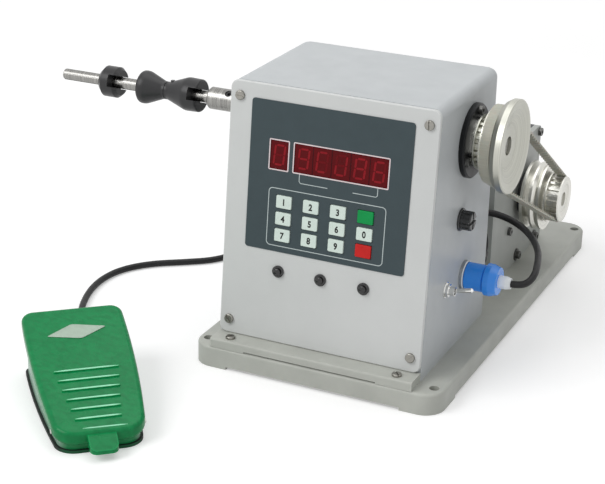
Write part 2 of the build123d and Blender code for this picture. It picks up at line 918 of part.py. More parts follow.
def set_screws():
    """Grub screws: spindle nose, inner cone neck and pulley hub."""
    nose = Plane(origin=(nose_screw_x, spindle_y, spindle_z), z_dir=nose_direction())
    screw = nose * Pos(0, 0, winding_shaft_radius) * extrude(Circle(grub_radius), 2.6)
    screw -= nose * Pos(0, 0, winding_shaft_radius + 1.2) * extrude(RegularPolygon(1.3, 6), 2)
    neck = Plane(origin=(neck_screw_x(), spindle_y, spindle_z), z_dir=(0, 0, 1))
    grub = neck * Pos(0, 0, winding_shaft_radius) * extrude(Circle(1.5), cone_neck_radius - 2.4)
    return [screw, grub]


def winding_shaft():
    ground_to = winding_shaft_tip_x + shaft_chamfer + shaft_end_length
    points = [
        (spindle_nose_x + winding_shaft_socket, 0),
        (spindle_nose_x + winding_shaft_socket, winding_shaft_radius),
        (ground_to, winding_shaft_radius),
        (ground_to, shaft_end_radius),
        (winding_shaft_tip_x + shaft_chamfer, shaft_end_radius),
        (winding_shaft_tip_x, shaft_end_radius - shaft_chamfer),
        (winding_shaft_tip_x, 0),
    ]
    shaft = turned(points, spindle_y, spindle_z)
    groove_to = spindle_nose_x - 1.0
    for index in range(shaft_groove_count):
        angle = math.radians(index * 360 / shaft_groove_count + 12)
        direction = (0, math.cos(angle), math.sin(angle))
        side = Plane(origin=(winding_shaft_tip_x - 1, spindle_y, spindle_z), x_dir=(1, 0, 0), z_dir=direction)
        length = groove_to - winding_shaft_tip_x + 1
        groove = Box(length, shaft_groove_width, 2 * shaft_groove_depth)
        shaft -= side * Pos(length / 2, 0, winding_shaft_radius) * groove
    return shaft


def inner_cone_left():
    return inner_cone_right - inner_cone_length


def neck_screw_x():
    return inner_cone_left() + neck_screw_from_end


def cone(big_end, small_end, belly, end_rounding):
    """A winding cone with its big end at one X and its neck at the other."""
    way = 1 if small_end > big_end else -1
    bore = winding_shaft_radius + running_gap
    shoulder = (big_end + way * belly, cone_big_radius + 0.3)
    neck = (small_end - way * cone_neck_land, cone_neck_radius)
    corners = [
        (big_end, bore),
        (big_end, cone_big_radius),
        shoulder,
        neck,
        (small_end, cone_neck_radius),
        (small_end, bore),
    ]
    profile = make_face(Polyline(*corners, close=True))

    def corner(place):
        return profile.vertices().sort_by_distance((*place, 0))[:1]

    profile = fillet(corner(shoulder), cone_belly_radius)
    profile = fillet(corner((big_end, cone_big_radius)), end_rounding)
    profile = fillet(corner(neck), cone_belly_radius / 2)
    return Pos(0, spindle_y, spindle_z) * revolve(profile, Axis.X)


def driver_slot(end_x, depth):
    """The slot across the end of a cone or collar, as wide as the shaft."""
    slot = Box(2 * depth, 3 * cone_big_radius, cone_slot_width)
    return Pos(end_x, spindle_y, spindle_z) * Rot(-cone_slot_angle, 0, 0) * slot


def inner_cone():
    body = cone(inner_cone_right, inner_cone_left(), inner_cone_belly, inner_cone_end)
    body -= driver_slot(inner_cone_right, cone_slot_depth)
    neck = Plane(origin=(neck_screw_x(), spindle_y, spindle_z), z_dir=(0, 0, 1))
    return body - neck * extrude(Circle(1.5), 2 * cone_neck_radius)


def outer_cone():
    small_end = inner_cone_left() - cone_gap
    return cone(small_end - outer_cone_length, small_end, outer_cone_belly, outer_cone_end)


def clamp_collar():
    left = collar_right - collar_length
    points = [
        (left, winding_shaft_radius + running_gap),
        (left, collar_radius - collar_chamfer),
        (left + collar_chamfer, collar_radius),
        (collar_right - 2.4, collar_radius),
        (collar_right, collar_radius - 2.0),
        (collar_right, winding_shaft_radius + running_gap),
    ]
    return turned(points, spindle_y, spindle_z) - driver_slot(collar_right, collar_slot_depth)


def count_disc():
    disc = rod(disc_x, disc_x + disc_thickness, spindle_y, spindle_z, disc_radius)
    disc += rod(disc_x - 4, disc_x, spindle_y, spindle_z, spindle_radius + 3)
    disc -= rod(disc_x - 9, disc_x + 9, spindle_y, spindle_z, spindle_radius)
    for index in range(disc_slots):
        angle = 360 / disc_slots * (index + 0.5)
        slot = Rot(angle, 0, 0) * Pos(0, 0, disc_radius - 2) * Box(4 * disc_thickness, 3, 5)
        disc -= Pos(disc_x, spindle_y, spindle_z) * slot
    return disc


def turn_sensor():
    """The forked light gate that reads the disc, hung from the housing's roof."""
    low = spindle_z + disc_radius - fork_reach
    high = housing_top - housing_wall
    middle = disc_x + disc_thickness / 2
    block = Pos(middle, spindle_y, (low + high) / 2) * Box(fork_width, fork_depth, high - low)
    slot_top = spindle_z + disc_radius + 1.5
    block -= Pos(middle, spindle_y, (low + slot_top) / 2 - 1) * Box(fork_gap, 2 * fork_depth, slot_top - low + 2)
    return block


# ---------------------------------------------------------------- belt drive
def groove(teeth, radius, index, phase):
    """One tooth space of a pulley, as a face in the pulley's own plane."""
    angle = phase + 360 * index / teeth
    inner = radius - groove_depth
    outer = radius + 1
    spread = (groove_mouth - groove_floor) / groove_depth
    mouth = groove_mouth + spread
    outline = Polyline(
        (inner, -groove_floor / 2), (outer, -mouth / 2), (outer, mouth / 2), (inner, groove_floor / 2), close=True
    )
    return Rot(0, 0, angle) * make_face(outline)


def toothed_face(teeth, phase):
    pitch_radius = belt_pitch * teeth / (2 * math.pi)
    radius = pitch_radius - pitch_line_offset
    return Circle(radius) - [groove(teeth, radius, index, phase) for index in range(teeth)]


def large_phase():
    """The angle of a belt tooth where the upper run leaves the large pulley."""
    return math.degrees(drive_angle + math.pi / 2 - belt_spread)


def small_phase():
    """The angle of the belt tooth nearest the upper run's end on the small pulley."""
    run = shaft_distance * math.cos(belt_spread)
    over = math.ceil(run / belt_pitch) * belt_pitch - run
    return large_phase() - math.degrees(over / small_pitch_radius)


def handwheel_face_x():
    return belt_x + belt_track / 2 + 0.6 + handwheel_width


def spindle_pulley():
    """Two toothed steps and the dished handwheel, turned in one piece."""
    step_from = pulley_inner_x()
    flange_from = step_from + small_step_width
    belt_from = flange_from + step_flange_thickness
    wheel_from = handwheel_face_x() - handwheel_width
    face = handwheel_face_x()
    small_tip = small_pitch_radius - pitch_line_offset
    small_face = along_x(step_from, spindle_y, spindle_z) * toothed_face(small_teeth, 0)
    small_step = extrude(small_face, small_step_width)
    rim_radius = small_tip + step_flange_overhang
    rim = rod(step_from, step_from + step_flange_thickness, spindle_y, spindle_z, rim_radius)
    divider_radius = large_pitch_radius - groove_depth
    divider = rod(flange_from, belt_from, spindle_y, spindle_z, divider_radius)
    toothed = along_x(belt_from, spindle_y, spindle_z) * extrude(
        toothed_face(large_teeth, large_phase()), wheel_from - belt_from
    )
    wheel = turned(
        [
            (wheel_from, 0),
            (wheel_from, handwheel_radius - handwheel_bevel),
            (wheel_from + handwheel_bevel * 1.6, handwheel_radius),
            (face - 0.6, handwheel_radius),
            (face, handwheel_radius - 0.6),
            (face, handwheel_radius - handwheel_land),
            (face - dish_depth, dish_radius),
            (face - dish_depth, 0),
        ],
        spindle_y,
        spindle_z,
    )
    pulley = small_step + rim + divider + toothed + wheel
    return pulley - rod(step_from - 1, face + 1, spindle_y, spindle_z, spindle_seat_radius)


def motor_pulley():
    """The motor's pulley: guard disc, round-belt groove, drum and toothed step."""
    belt_from = belt_x - belt_track / 2 - 0.4
    left = belt_x - guard_off_belt
    drum_left = belt_x - drum_off_belt
    drum_right = drum_left + drum_width
    drum_middle = (drum_left + drum_right) / 2
    rim = large_pitch_radius
    small_tip = small_pitch_radius - pitch_line_offset
    points = [
        (left, 0),
        (left, rim - 0.4),
        (left + 0.4, rim),
        (left + guard_thickness, rim),
        (left + guard_thickness, cord_groove_radius),
        (drum_left, cord_groove_radius),
        (drum_left, rim),
        (drum_middle - drum_groove_width / 2, rim),
        (drum_middle, rim - drum_groove_depth),
        (drum_middle + drum_groove_width / 2, rim),
        (drum_right, rim),
        (drum_right, pulley_neck_radius),
        (drum_right + pulley_neck_width, pulley_neck_radius),
        (drum_right + pulley_neck_width, small_pitch_radius + 2.0),
        (belt_from, small_pitch_radius + 2.0),
        (belt_from, 0),
    ]
    wheel = turned(points, motor_y, motor_z)
    wheel += along_x(belt_from, motor_y, motor_z) * extrude(
        toothed_face(small_teeth, small_phase()), motor_pulley_right - belt_from
    )
    end_rim = turned(
        [
            (motor_pulley_right, 0),
            (motor_pulley_right, small_tip + 0.7),
            (motor_pulley_right + 0.9, small_tip + 0.3),
            (motor_pulley_right + 0.9, 11.5),
            (motor_pulley_right - 0.4, 9.5),
            (motor_pulley_right - 0.4, 0),
        ],
        motor_y,
        motor_z,
    )
    wheel += end_rim
    return wheel - rod(left - 1, motor_pulley_right + 2, motor_y, motor_z, motor_shaft_radius)


def belt_loop_face(offset):
    """The area inside the belt's path when it is moved out by offset."""
    large = large_pitch_radius + offset
    small = small_pitch_radius + offset
    along = (math.cos(drive_angle), math.sin(drive_angle))
    far = (shaft_distance * along[0], shaft_distance * along[1])
    up = drive_angle + math.pi / 2 - belt_spread
    down = drive_angle - math.pi / 2 + belt_spread

    def at(centre, radius, angle):
        return (centre[0] + radius * math.cos(angle), centre[1] + radius * math.sin(angle))

    near = (0.0, 0.0)
    back = drive_angle + math.pi
    edges = [
        Line(at(near, large, up), at(far, small, up)),
        ThreePointArc(at(far, small, up), at(far, small, drive_angle), at(far, small, down)),
        Line(at(far, small, down), at(near, large, down)),
        ThreePointArc(at(near, large, down), at(near, large, back), at(near, large, up)),
    ]
    return make_face(Wire([edge for line in edges for edge in line.edges()]))


def belt_tooth_places():
    """Point and outward angle of each belt tooth on the pitch line."""
    run = shaft_distance * math.cos(belt_spread)
    up = drive_angle + math.pi / 2 - belt_spread
    down = drive_angle - math.pi / 2 + belt_spread
    small_wrap = small_pitch_radius * (math.pi - 2 * belt_spread)
    far_y = shaft_distance * math.cos(drive_angle)
    far_z = shaft_distance * math.sin(drive_angle)
    places = []
    for index in range(belt_teeth):
        along = index * belt_pitch
        if along <= run:
            y = large_pitch_radius * math.cos(up) + along * math.cos(up - math.pi / 2)
            z = large_pitch_radius * math.sin(up) + along * math.sin(up - math.pi / 2)
            places.append((y, z, up))
            continue
        along -= run
        if along <= small_wrap:
            angle = up - along / small_pitch_radius
            y = far_y + small_pitch_radius * math.cos(angle)
            z = far_z + small_pitch_radius * math.sin(angle)
            places.append((y, z, angle))
            continue
        along -= small_wrap
        if along <= run:
            y = far_y + small_pitch_radius * math.cos(down) + along * math.cos(down - math.pi / 2)
            z = far_z + small_pitch_radius * math.sin(down) + along * math.sin(down - math.pi / 2)
            places.append((y, z, down))
            continue
        angle = down - (along - run) / large_pitch_radius
        places.append((large_pitch_radius * math.cos(angle), large_pitch_radius * math.sin(angle), angle))
    return places


def drive_belt():
    land = belt_clearance - pitch_line_offset
    band = belt_loop_face(belt_back) - belt_loop_face(land)
    root = belt_tooth_root / 2
    tip = belt_tooth_tip / 2
    low = land - belt_tooth_height
    high = land + 0.3
    outline = Polyline((high, -root), (low, -tip), (low, tip), (high, root), close=True)
    tooth = make_face(outline)
    teeth = [Pos(y, z) * Rot(0, 0, math.degrees(angle)) * tooth for y, z, angle in belt_tooth_places()]
    band += teeth
    return along_x(belt_x - belt_width / 2, spindle_y, spindle_z) * extrude(band, belt_width)


# ---------------------------------------------------------------- motor
def motor_bracket():
    left = bracket_right_x - bracket_thickness
    top = motor_can_z + motor_reach
    outline = Polyline(
        (bracket_front, base_top),
        (bracket_rear, base_top),
        (bracket_rear, base_top + bracket_foot_height),
        (motor_y + motor_reach, motor_can_z - motor_reach),
        (motor_y + motor_reach, top),
        (bracket_front, top),
        close=True,
    )
    plate = along_x(left, 0, 0) * extrude(make_face(outline), bracket_thickness)
    top_corners = plate.faces().sort_by(Axis.Z)[-1].edges().filter_by(Axis.X)
    plate = fillet(top_corners, bracket_corner_radius)
    plate -= rod(left - 1, bracket_right_x + 1, motor_y, motor_z, motor_pilot_radius)
    for y, z in motor_screw_places():
        plate -= rod(left - 1, bracket_right_x + 1, y, z, cap_shank_radius)
    for y in bracket_bolt_places():
        plate -= rod(left - 1, bracket_right_x + 1, y, bracket_bolt_z, cap_shank_radius)
    return plate


def motor_body():
    face = bracket_right_x - bracket_thickness
    flange_back = face - motor_flange_thickness
    flange = along_x(flange_back, motor_y, motor_can_z) * extrude(
        RectangleRounded(2 * motor_reach, 2 * motor_reach, motor_screw_margin), motor_flange_thickness
    )
    for y, z in motor_screw_places():
        flange -= rod(flange_back - 1, face + 1, y, z, cap_shank_radius)
    rear = flange_back - motor_length
    can = turned(
        [
            (flange_back, 0),
            (flange_back, motor_radius),
            (rear + 1.5, motor_radius),
            (rear, motor_radius - 1.5),
            (rear, motor_cap_radius),
            (rear - motor_cap_length + 3, motor_cap_radius),
            (rear - motor_cap_length, motor_cap_radius - 5),
            (rear - motor_cap_length, 0),
        ],
        motor_y,
        motor_can_z,
    )
    pilot = rod(face - 1, bracket_right_x + motor_pilot_proud, motor_y, motor_z, motor_pilot_radius - 0.1)
    body = flange + can + pilot
    for side in (-1, 1):
        seat = Plane(
            origin=(rear + 14, motor_y, motor_can_z + side * (motor_radius - 4)), z_dir=(0, 0, side)
        )
        body += seat * extrude(Circle(6), 7)
    body -= rod(face - 12, bracket_right_x + 5, motor_y, motor_z, motor_shaft_radius + running_gap)
    return body


def motor_shaft():
    start = bracket_right_x - bracket_thickness - 11
    end = motor_pulley_right - 1.5
    shaft = rod(start, end, motor_y, motor_z, motor_shaft_radius)
    return chamfer(shaft.faces().sort_by(Axis.X)[-1].edges(), 0.6)


# ---------------------------------------------------------------- right wall
def fuse_holder():
    collar = rod(right_wall_x, right_wall_x + fuse_collar_thickness, fuse_y, fuse_z, fuse_collar_radius)
    collar = chamfer(collar.faces().sort_by(Axis.X)[-1].edges(), 0.5)
    body = rod(right_wall_x - fuse_body_length, right_wall_x, fuse_y, fuse_z, fuse_body_radius)
    nut = along_x(right_wall_x - housing_wall - 4, fuse_y, fuse_z) * extrude(RegularPolygon(9.0, 6), 4)
    shank_bottom = right_wall_x + fuse_collar_thickness - fuse_shank_length
    holder = collar + body + nut
    return holder - rod(
        shank_bottom - 12, right_wall_x + 5, fuse_y, fuse_z, fuse_bore_radius + running_gap
    )


def fuse_cap():
    under = right_wall_x + fuse_collar_thickness + sliding_gap
    cap = rod(under, under + fuse_cap_length, fuse_y, fuse_z, fuse_cap_radius)
    cap = chamfer(cap.faces().sort_by(Axis.X)[-1].edges(), 0.6)
    for index in range(fuse_cap_flutes):
        flute = Rot(360 / fuse_cap_flutes * index, 0, 0) * Pos(0, 0, fuse_cap_radius) * Box(
            fuse_cap_length - 2, 1.1, 1.4
        )
        cap -= Pos(under + fuse_cap_length / 2, fuse_y, fuse_z) * flute
    for turn in (0, 90):
        notch = Rot(turn, 0, 0) * Box(2.4, 3 * fuse_cap_radius, 2.2)
        cap -= Pos(under + fuse_cap_length, fuse_y, fuse_z) * notch
    return cap + rod(under - fuse_shank_length, under, fuse_y, fuse_z, fuse_bore_radius)


def toggle_mouth_x():
    return right_wall_x + toggle_bushing_length


def toggle_switch():
    """The bushing with its nut and washer outside, and the switch body inside."""
    inside = right_wall_x - housing_wall
    bushing = rod(inside, toggle_mouth_x(), toggle_y, toggle_z, toggle_bushing_radius)
    washer = rod(right_wall_x, right_wall_x + 0.6, toggle_y, toggle_z, toggle_nut_flats / 2 + 1.2)
    nut_outline = RegularPolygon(toggle_nut_flats / 2, 6, major_radius=False)
    nut = along_x(right_wall_x + 0.6, toggle_y, toggle_z) * extrude(nut_outline, toggle_nut_height)
    depth, width, height = toggle_body_size
    body = Pos(inside - depth / 2, toggle_y, toggle_z) * Box(depth, width, height)
    switch = bushing + washer + nut + body
    bore_from = toggle_pivot_x() - toggle_ball_radius - 0.4
    return switch - rod(bore_from, toggle_mouth_x() + 1, toggle_y, toggle_z, toggle_bore_radius)


def toggle_pivot_x():
    return toggle_mouth_x() - toggle_pivot_depth


def toggle_lever():
    points = [
        (-1.2, 0),
        (-1.2, 1.5),
        (0, toggle_ball_radius),
        (1.4, 1.4),
        (2.2, toggle_lever_root),
        (toggle_lever_length - 4.5, toggle_lever_tip),
        (toggle_lever_length - 0.8, toggle_lever_tip),
        (toggle_lever_length, toggle_lever_tip - 0.7),
        (toggle_lever_length, 0),
    ]
    lever = revolve(make_face(Polyline(*points, close=True)), Axis.X)
    return Pos(toggle_pivot_x(), toggle_y, toggle_z) * Rot(0, -toggle_angle, 0) * lever


def pedal_socket():
    flange = rod(right_wall_x, right_wall_x + socket_flange_thickness, socket_y, socket_z, socket_flange_radius)
    flange = chamfer(flange.faces().sort_by(Axis.X)[-1].edges(), 0.6)
    barrel = rod(right_wall_x - socket_barrel_length, right_wall_x, socket_y, socket_z, socket_barrel_radius)
    nut_place = along_x(right_wall_x - housing_wall - 3, socket_y, socket_z)
    nut = nut_place * extrude(RegularPolygon(socket_barrel_radius + 3, 6), 3)
    return flange + barrel + nut


def plug_from_x():
    return right_wall_x + socket_flange_thickness


def plug_shell():
    start = plug_from_x()
    ring_from = start + plug_body_length + plug_groove
    end = ring_from + plug_ring_length
    points = [
        (start, 0),
        (start, plug_body_radius - 0.5),
        (start + 0.5, plug_body_radius),
        (start + plug_body_length - 0.5, plug_body_radius),
        (start + plug_body_length, plug_body_radius - 0.5),
        (start + plug_body_length, plug_body_radius - 1.2),
        (ring_from, plug_body_radius - 1.2),
        (ring_from, plug_ring_radius - 0.4),
        (ring_from + 0.4, plug_ring_radius),
        (end - 3 * plug_ring_chamfer, plug_ring_radius),
        (end, plug_ring_radius - plug_ring_chamfer),
        (end, 0),
    ]
    return turned(points, socket_y, socket_z)


def plug_end_x():
    return plug_from_x() + plug_body_length + plug_groove + plug_ring_length + plug_gland_length


def plug_gland():
    end = plug_end_x()
    start = end - plug_gland_length
    points = [
        (start, 0),
        (start, plug_gland_radius),
        (start + 0.6 * plug_gland_length, plug_gland_radius),
        (end, plug_gland_tip_radius),
        (end, 0),
    ]
    return turned(points, socket_y, socket_z)


# ---------------------------------------------------------------- inside
def power_transformer():
    width, depth, height = transformer_size
    foot = Pos(transformer_x, transformer_y, floor_top + 1.5) * Box(width + 18, depth * 0.6, 3)
    core = Pos(transformer_x, transformer_y, floor_top + height / 2) * Box(width, depth * 0.6, height)
    winding = Pos(transformer_x, transformer_y, floor_top + height / 2 + 1) * Box(
        width * 0.62, depth + winding_bulge, height * 0.62
    )
    winding = fillet(winding.edges().filter_by(Axis.Z), 4)
    return foot + core + winding


# ---------------------------------------------------------------- foot pedal
def pedal_plan(inset, length_trim=0.0):
    """The pedal's outline from above, drawn in by inset: wide at the back."""
    rear = pedal_rear_width / 2 - inset
    toe = pedal_toe_width / 2 - inset
    back = pedal_length - inset - length_trim
    front = inset
    middle = (front + back) / 2
    bulged = (rear + toe) / 2 + pedal_side_bulge
    edges = [
        Line((-toe, front), (toe, front)),
        ThreePointArc((toe, front), (bulged, middle), (rear, back)),
        Line((rear, back), (-rear, back)),
        ThreePointArc((-rear, back), (-bulged, middle), (-toe, front)),
    ]
    plan = make_face(Wire([edge for line in edges for edge in line.edges()]))
    plan = fillet(plan.vertices().sort_by(Axis.Y)[-2:], max(pedal_rear_corner - inset, 1.0))
    return fillet(plan.vertices().sort_by(Axis.Y)[:2], max(pedal_toe_corner - inset, 1.0))


def top_line(y, below):
    """Height of the treadle's top at y, less a depth below it."""
    rise = (treadle_rear_height - treadle_toe_height) / pedal_length
    return treadle_toe_height + rise * y - below


def between(plan, low_below, high_below, floor=None):
    """The prism on plan between two depths below the treadle's top."""
    near, far = -pedal_length, 2 * pedal_length
    low_near = top_line(near, low_below) if floor is None else floor
    low_far = top_line(far, low_below) if floor is None else floor
    high_near = top_line(near, high_below)
    high_far = top_line(far, high_below)
    outline = Polyline((near, low_near), (far, low_far), (far, high_far), (near, high_near), close=True)
    slab = along_x(-pedal_rear_width, 0, 0) * extrude(make_face(outline), 2 * pedal_rear_width)
    return extrude(plan, 2 * treadle_rear_height) & slab


def tongue():
    """The tab at the toe, sloping down from under the treadle's edge."""
    root = top_line(0, tongue_drop)
    tip = root - tongue_fall
    outline = Polyline(
        (tongue_lap, root),
        (-tongue_length / 3, root - 0.15 * tongue_fall),
        (-tongue_length, tip),
        (-tongue_length, tip - tongue_thickness / 2),
        (tongue_lap, root - tongue_thickness - 0.5),
        close=True,
    )
    face = make_face(outline)
    side = along_x(-tongue_width, 0, 0) * extrude(face, 2 * tongue_width)
    plan = Pos(0, (tongue_lap - tongue_length) / 2) * RectangleRounded(
        tongue_width, tongue_length + tongue_lap, tongue_width / 4
    )
    return extrude(plan, 2 * treadle_toe_height) & side


def treadle():
    shell = between(pedal_plan(0), treadle_skirt, 0)
    top = shell.faces().sort_by(Axis.Z)[-1]
    shell = fillet(top.edges(), treadle_edge_radius)
    tilt = math.degrees(math.atan((treadle_rear_height - treadle_toe_height) / pedal_length))
    for index in range(rib_count):
        y = rib_first + index * rib_pitch
        length = rib_length + index * rib_growth
        rib = extrude(RectangleRounded(length, rib_width, rib_width / 2 - 0.05), rib_height + 0.4)
        shell += Pos(0, y, top_line(y, 0.4)) * Rot(tilt, 0, 0) * rib
    shell += tongue()
    shell -= between(pedal_plan(treadle_wall), treadle_skirt + 1, treadle_wall)
    bore = Cylinder(pivot_radius + running_gap, 2 * pedal_toe_width)
    pin = Pos(0, pivot_from_toe, pivot_height) * Rot(0, 90, 0) * bore
    return pedal_place * (shell - pin)


def base_inset():
    return treadle_wall + treadle_side_gap


def pedal_base():
    """The pedal's cast tray, open at the top under the treadle."""
    plan = pedal_plan(base_inset())
    back = pedal_length - base_inset()
    reach = treadle_wall + rear_drop() + 0.7
    tray = between(plan, 0, reach, floor=sole_thickness)
    inner = pedal_plan(base_inset() + pedal_wall)
    tray -= between(inner, 0, -40, floor=sole_thickness + pedal_floor)
    pin = Pos(0, pivot_from_toe, pivot_height) * Rot(0, 90, 0) * Cylinder(pivot_radius, 2 * pedal_toe_width)
    ear_width = 6.0
    for side in (-1, 1):
        ear_x = side * (half_width_at(pivot_from_toe) - base_inset() - pedal_wall / 2 - ear_margin)
        ear_top = pivot_height + pivot_radius + ear_margin
        ear = Pos(ear_x, pivot_from_toe, (sole_thickness + ear_top) / 2) * Box(
            pedal_wall, ear_width, ear_top - sole_thickness
        )
        tray += ear
    seat_radius = spring_radius - spring_wire - 0.6
    tray += Pos(0, spring_from_toe, sole_thickness + pedal_floor) * extrude(Circle(seat_radius), 4)
    width, depth, _ = switch_block
    rail = Pos(0, switch_from_toe, sole_thickness + pedal_floor) * extrude(
        Rectangle(width, depth), switch_low() - sole_thickness - pedal_floor
    )
    tray += rail
    tray -= pin
    exit_place = Pos(cord_exit_side, back, cord_exit_height) * Rot(90, 0, 0)
    return pedal_place * (tray - exit_place * Cylinder(cord_radius, 4 * pedal_wall))


def half_width_at(y):
    """Half of the pedal's outer width at a distance from the toe."""
    share = y / pedal_length
    straight = pedal_toe_width + (pedal_rear_width - pedal_toe_width) * share
    return straight / 2 + pedal_side_bulge * 4 * share * (1 - share)


def rear_drop():
    return (pedal_length - pivot_from_toe) * math.tan(math.radians(treadle_travel))


def pedal_cord_start():
    """Where the cord leaves the tray's back wall."""
    back = pedal_length - base_inset()
    return (pedal_place * Pos(cord_exit_side, back - pedal_wall, cord_exit_height)).position


def pedal_sole():
    plan = pedal_plan(base_inset() - 1.6)
    return pedal_place * extrude(plan, sole_thickness)


def pivot_pin():
    half = half_width_at(pivot_from_toe) + 0.4
    pin = Pos(0, pivot_from_toe, pivot_height) * Rot(0, 90, 0) * Cylinder(pivot_radius, 2 * half)
    return pedal_place * pin


def treadle_spring():
    """The return spring, from the tray's floor to the treadle's underside."""
    low = sole_thickness + pedal_floor + spring_wire + 0.05
    high = top_line(spring_from_toe, treadle_wall) - spring_wire - 0.9
    quarters = 4 * spring_turns
    points = []
    ways = []
    for index in range(quarters + 1):
        angle = index * math.pi / 2
        height = low + (high - low) * index / quarters
        points.append(Vector(spring_radius * math.cos(angle), spring_radius * math.sin(angle), height))
        climb = (high - low) / (quarters * math.pi / 2)
        way = Vector(-spring_radius * math.sin(angle), spring_radius * math.cos(angle), climb)
        ways.append(way.normalized())
    path = wound_wire(points, ways)
    section = Plane(origin=points[0], z_dir=ways[0]) * Circle(spring_wire)
    coil = sweep(section, path=path)
    return pedal_place * Pos(0, spring_from_toe, 0) * coil


def switch_low():
    """The switch stands where the pressed treadle just reaches its button."""
    drop = (switch_from_toe - pivot_from_toe) * math.tan(math.radians(treadle_travel))
    reached = top_line(switch_from_toe - switch_block[1] / 2, treadle_wall) - drop - sliding_gap
    return reached - switch_button - switch_block[2]


def micro_switch():
    width, depth, height = switch_block
    low = switch_low()
    body = Pos(0, switch_from_toe, low + height / 2) * Box(width, depth, height)
    button = Pos(4, switch_from_toe, low + height) * extrude(Circle(1.4), switch_button)
    return pedal_place * (body + button)


# ---------------------------------------------------------------- cord
def coil_point(step):
    """A point of the coil, in quarter turns from its start."""
    half = coil_quarters / 2
    inward = min(step, coil_quarters - step)
    radius = coil_outer_radius - coil_pitch * inward / 4
    angle = math.radians(coil_start - 90 * step)
    climb = min(max((step - half + 1) / 2, 0), 1)
    height = floor_line + coil_rise * climb * climb * (3 - 2 * climb)
    x = coil_centre[0] + radius * math.cos(angle)
    y = coil_centre[1] + radius * math.sin(angle)
    return Vector(x, y, height)


def coil_way(step):
    """The coil's direction at a step; its two ends lie square to their radius."""
    if step in (0, coil_quarters):
        angle = math.radians(coil_start - 90 * step)
        return Vector(math.sin(angle), -math.cos(angle), 0)
    return (coil_point(step + 0.01) - coil_point(step - 0.01)).normalized()


def coil_start_end():
    return coil_point(0) - coil_way(0) * coil_lead


def coil_far_end():
    return coil_point(coil_quarters) + coil_way(coil_quarters) * coil_lead


def cord_coil():
    """The put-away cord: it winds in on the floor and out again on top."""
    steps = range(coil_quarters + 1)
    turns = wound_wire([coil_point(step) for step in steps], [coil_way(step) for step in steps])
    lead_in = Line(coil_start_end(), coil_point(0))
    lead_out = Line(coil_point(coil_quarters), coil_far_end())
    path = Wire([*lead_in.edges(), *turns.edges(), *lead_out.edges()])
    section = Plane(origin=coil_start_end(), z_dir=coil_way(0)) * Circle(cord_radius)
    tube = sweep(section, path=path)
    ratio = tube.volume / (math.pi * cord_radius**2 * path.length)
    samples = [coil_point(index / 16) for index in range(16 * coil_quarters + 1)]
    apart = 24
    least = min((a - b).length for i, a in enumerate(samples) for b in samples[i + apart:])
    gap = least - 2 * cord_radius
    print(f"cord_coil: length {path.length:.1f}, least gap {gap:.2f}, volume ratio {ratio:.4f}")
    return tube


def pedal_cord():
    """From the pedal's back wall to the coil."""
    outside = pedal_place * Pos(cord_exit_side, pedal_length - base_inset() + 13, cord_exit_height)
    before = coil_start_end() - coil_way(0) * 16
    ends = (tuple(before), tuple(coil_start_end()))
    route = [tuple(pedal_cord_start()), tuple(outside.position), *pedal_cord_route, *ends]
    return cord_tube("pedal_cord", route, cord_radius)


def plug_cord():
    """From the plug's gland to the coil."""
    after = coil_far_end() + coil_way(coil_quarters) * 16
    route = [(plug_end_x(), socket_y, socket_z), *plug_cord_route, tuple(after), tuple(coil_far_end())]
    return cord_tube("plug_cord", route, cord_radius)


def motor_lead():
    entry = Vector(motor_lead_x, motor_y - motor_radius, motor_can_z)
    approach = entry - Vector(0, 11, 0)
    tube = cord_tube("motor_lead", [*motor_lead_route, tuple(approach), tuple(entry)], lead_radius)
    x, y, z = motor_lead_route[0]
    relief = Pos(x, y, z) * Rot(-90, 0, 0) * Cone(
        lead_radius + 3.0, lead_radius + 0.5, 11, align=(Align.CENTER, Align.CENTER, Align.MIN)
    )
    plug = Pos(x, y - housing_wall - 0.5, z) * Rot(-90, 0, 0) * Cylinder(
        lead_radius + 1.4, housing_wall + 0.6, align=(Align.CENTER, Align.CENTER, Align.MIN)
    )
    return tube + relief + plug


# ---------------------------------------------------------------- write
def main():
    os.makedirs("parts", exist_ok=True)
    save("base_plate", base_plate())
    save("housing_floor", housing_floor())
    save("housing_shell", housing_shell())
    save("front_panel", front_panel())
    save("keypad_overlay", keypad_overlay())
    save("display_windows", display_windows())
    save("digit_modules", group(digit_modules()))
    save("control_board", control_board())
    for row, names in enumerate(key_names):
        for column, name in enumerate(names):
            save(name, key_cap(row, column))
    save("button_bezels", group(button_bezels()))
    for index, name in enumerate(("button_left", "button_middle", "button_right")):
        save(name, push_button(index))
    save("slotted_screws", group(slotted_screws()))
    save("cap_screws", group(cap_screws()))
    save("bearing_flanges", group(bearing_flanges()))
    save("spindle_bearings", group(spindle_bearings()))
    save("spindle", spindle())
    save("set_screws", group(set_screws()))
    save("winding_shaft", winding_shaft())
    save("inner_cone", inner_cone())
    save("outer_cone", outer_cone())
    save("clamp_collar", clamp_collar())
    save("count_disc", count_disc())
    save("turn_sensor", turn_sensor())
    save("spindle_pulley", spindle_pulley())
    save("motor_pulley", motor_pulley())
    save("drive_belt", drive_belt())
    save("motor_bracket", motor_bracket())
    save("motor_body", motor_body())
    save("motor_shaft", motor_shaft())
    save("motor_lead", motor_lead())
    save("fuse_holder", fuse_holder())
    save("fuse_cap", fuse_cap())
    save("toggle_switch", toggle_switch())
    save("toggle_lever", toggle_lever())
    save("pedal_socket", pedal_socket())
    save("plug_shell", plug_shell())
    save("plug_gland", plug_gland())
    save("power_transformer", power_transformer())
    save("treadle", treadle())
    save("pedal_base", pedal_base())
    save("pedal_sole", pedal_sole())
    save("pivot_pin", pivot_pin())
    save("treadle_spring", treadle_spring())
    save("micro_switch", micro_switch())
    save("cord_coil", cord_coil())
    save("pedal_cord", pedal_cord())
    save("plug_cord", plug_cord())


main()
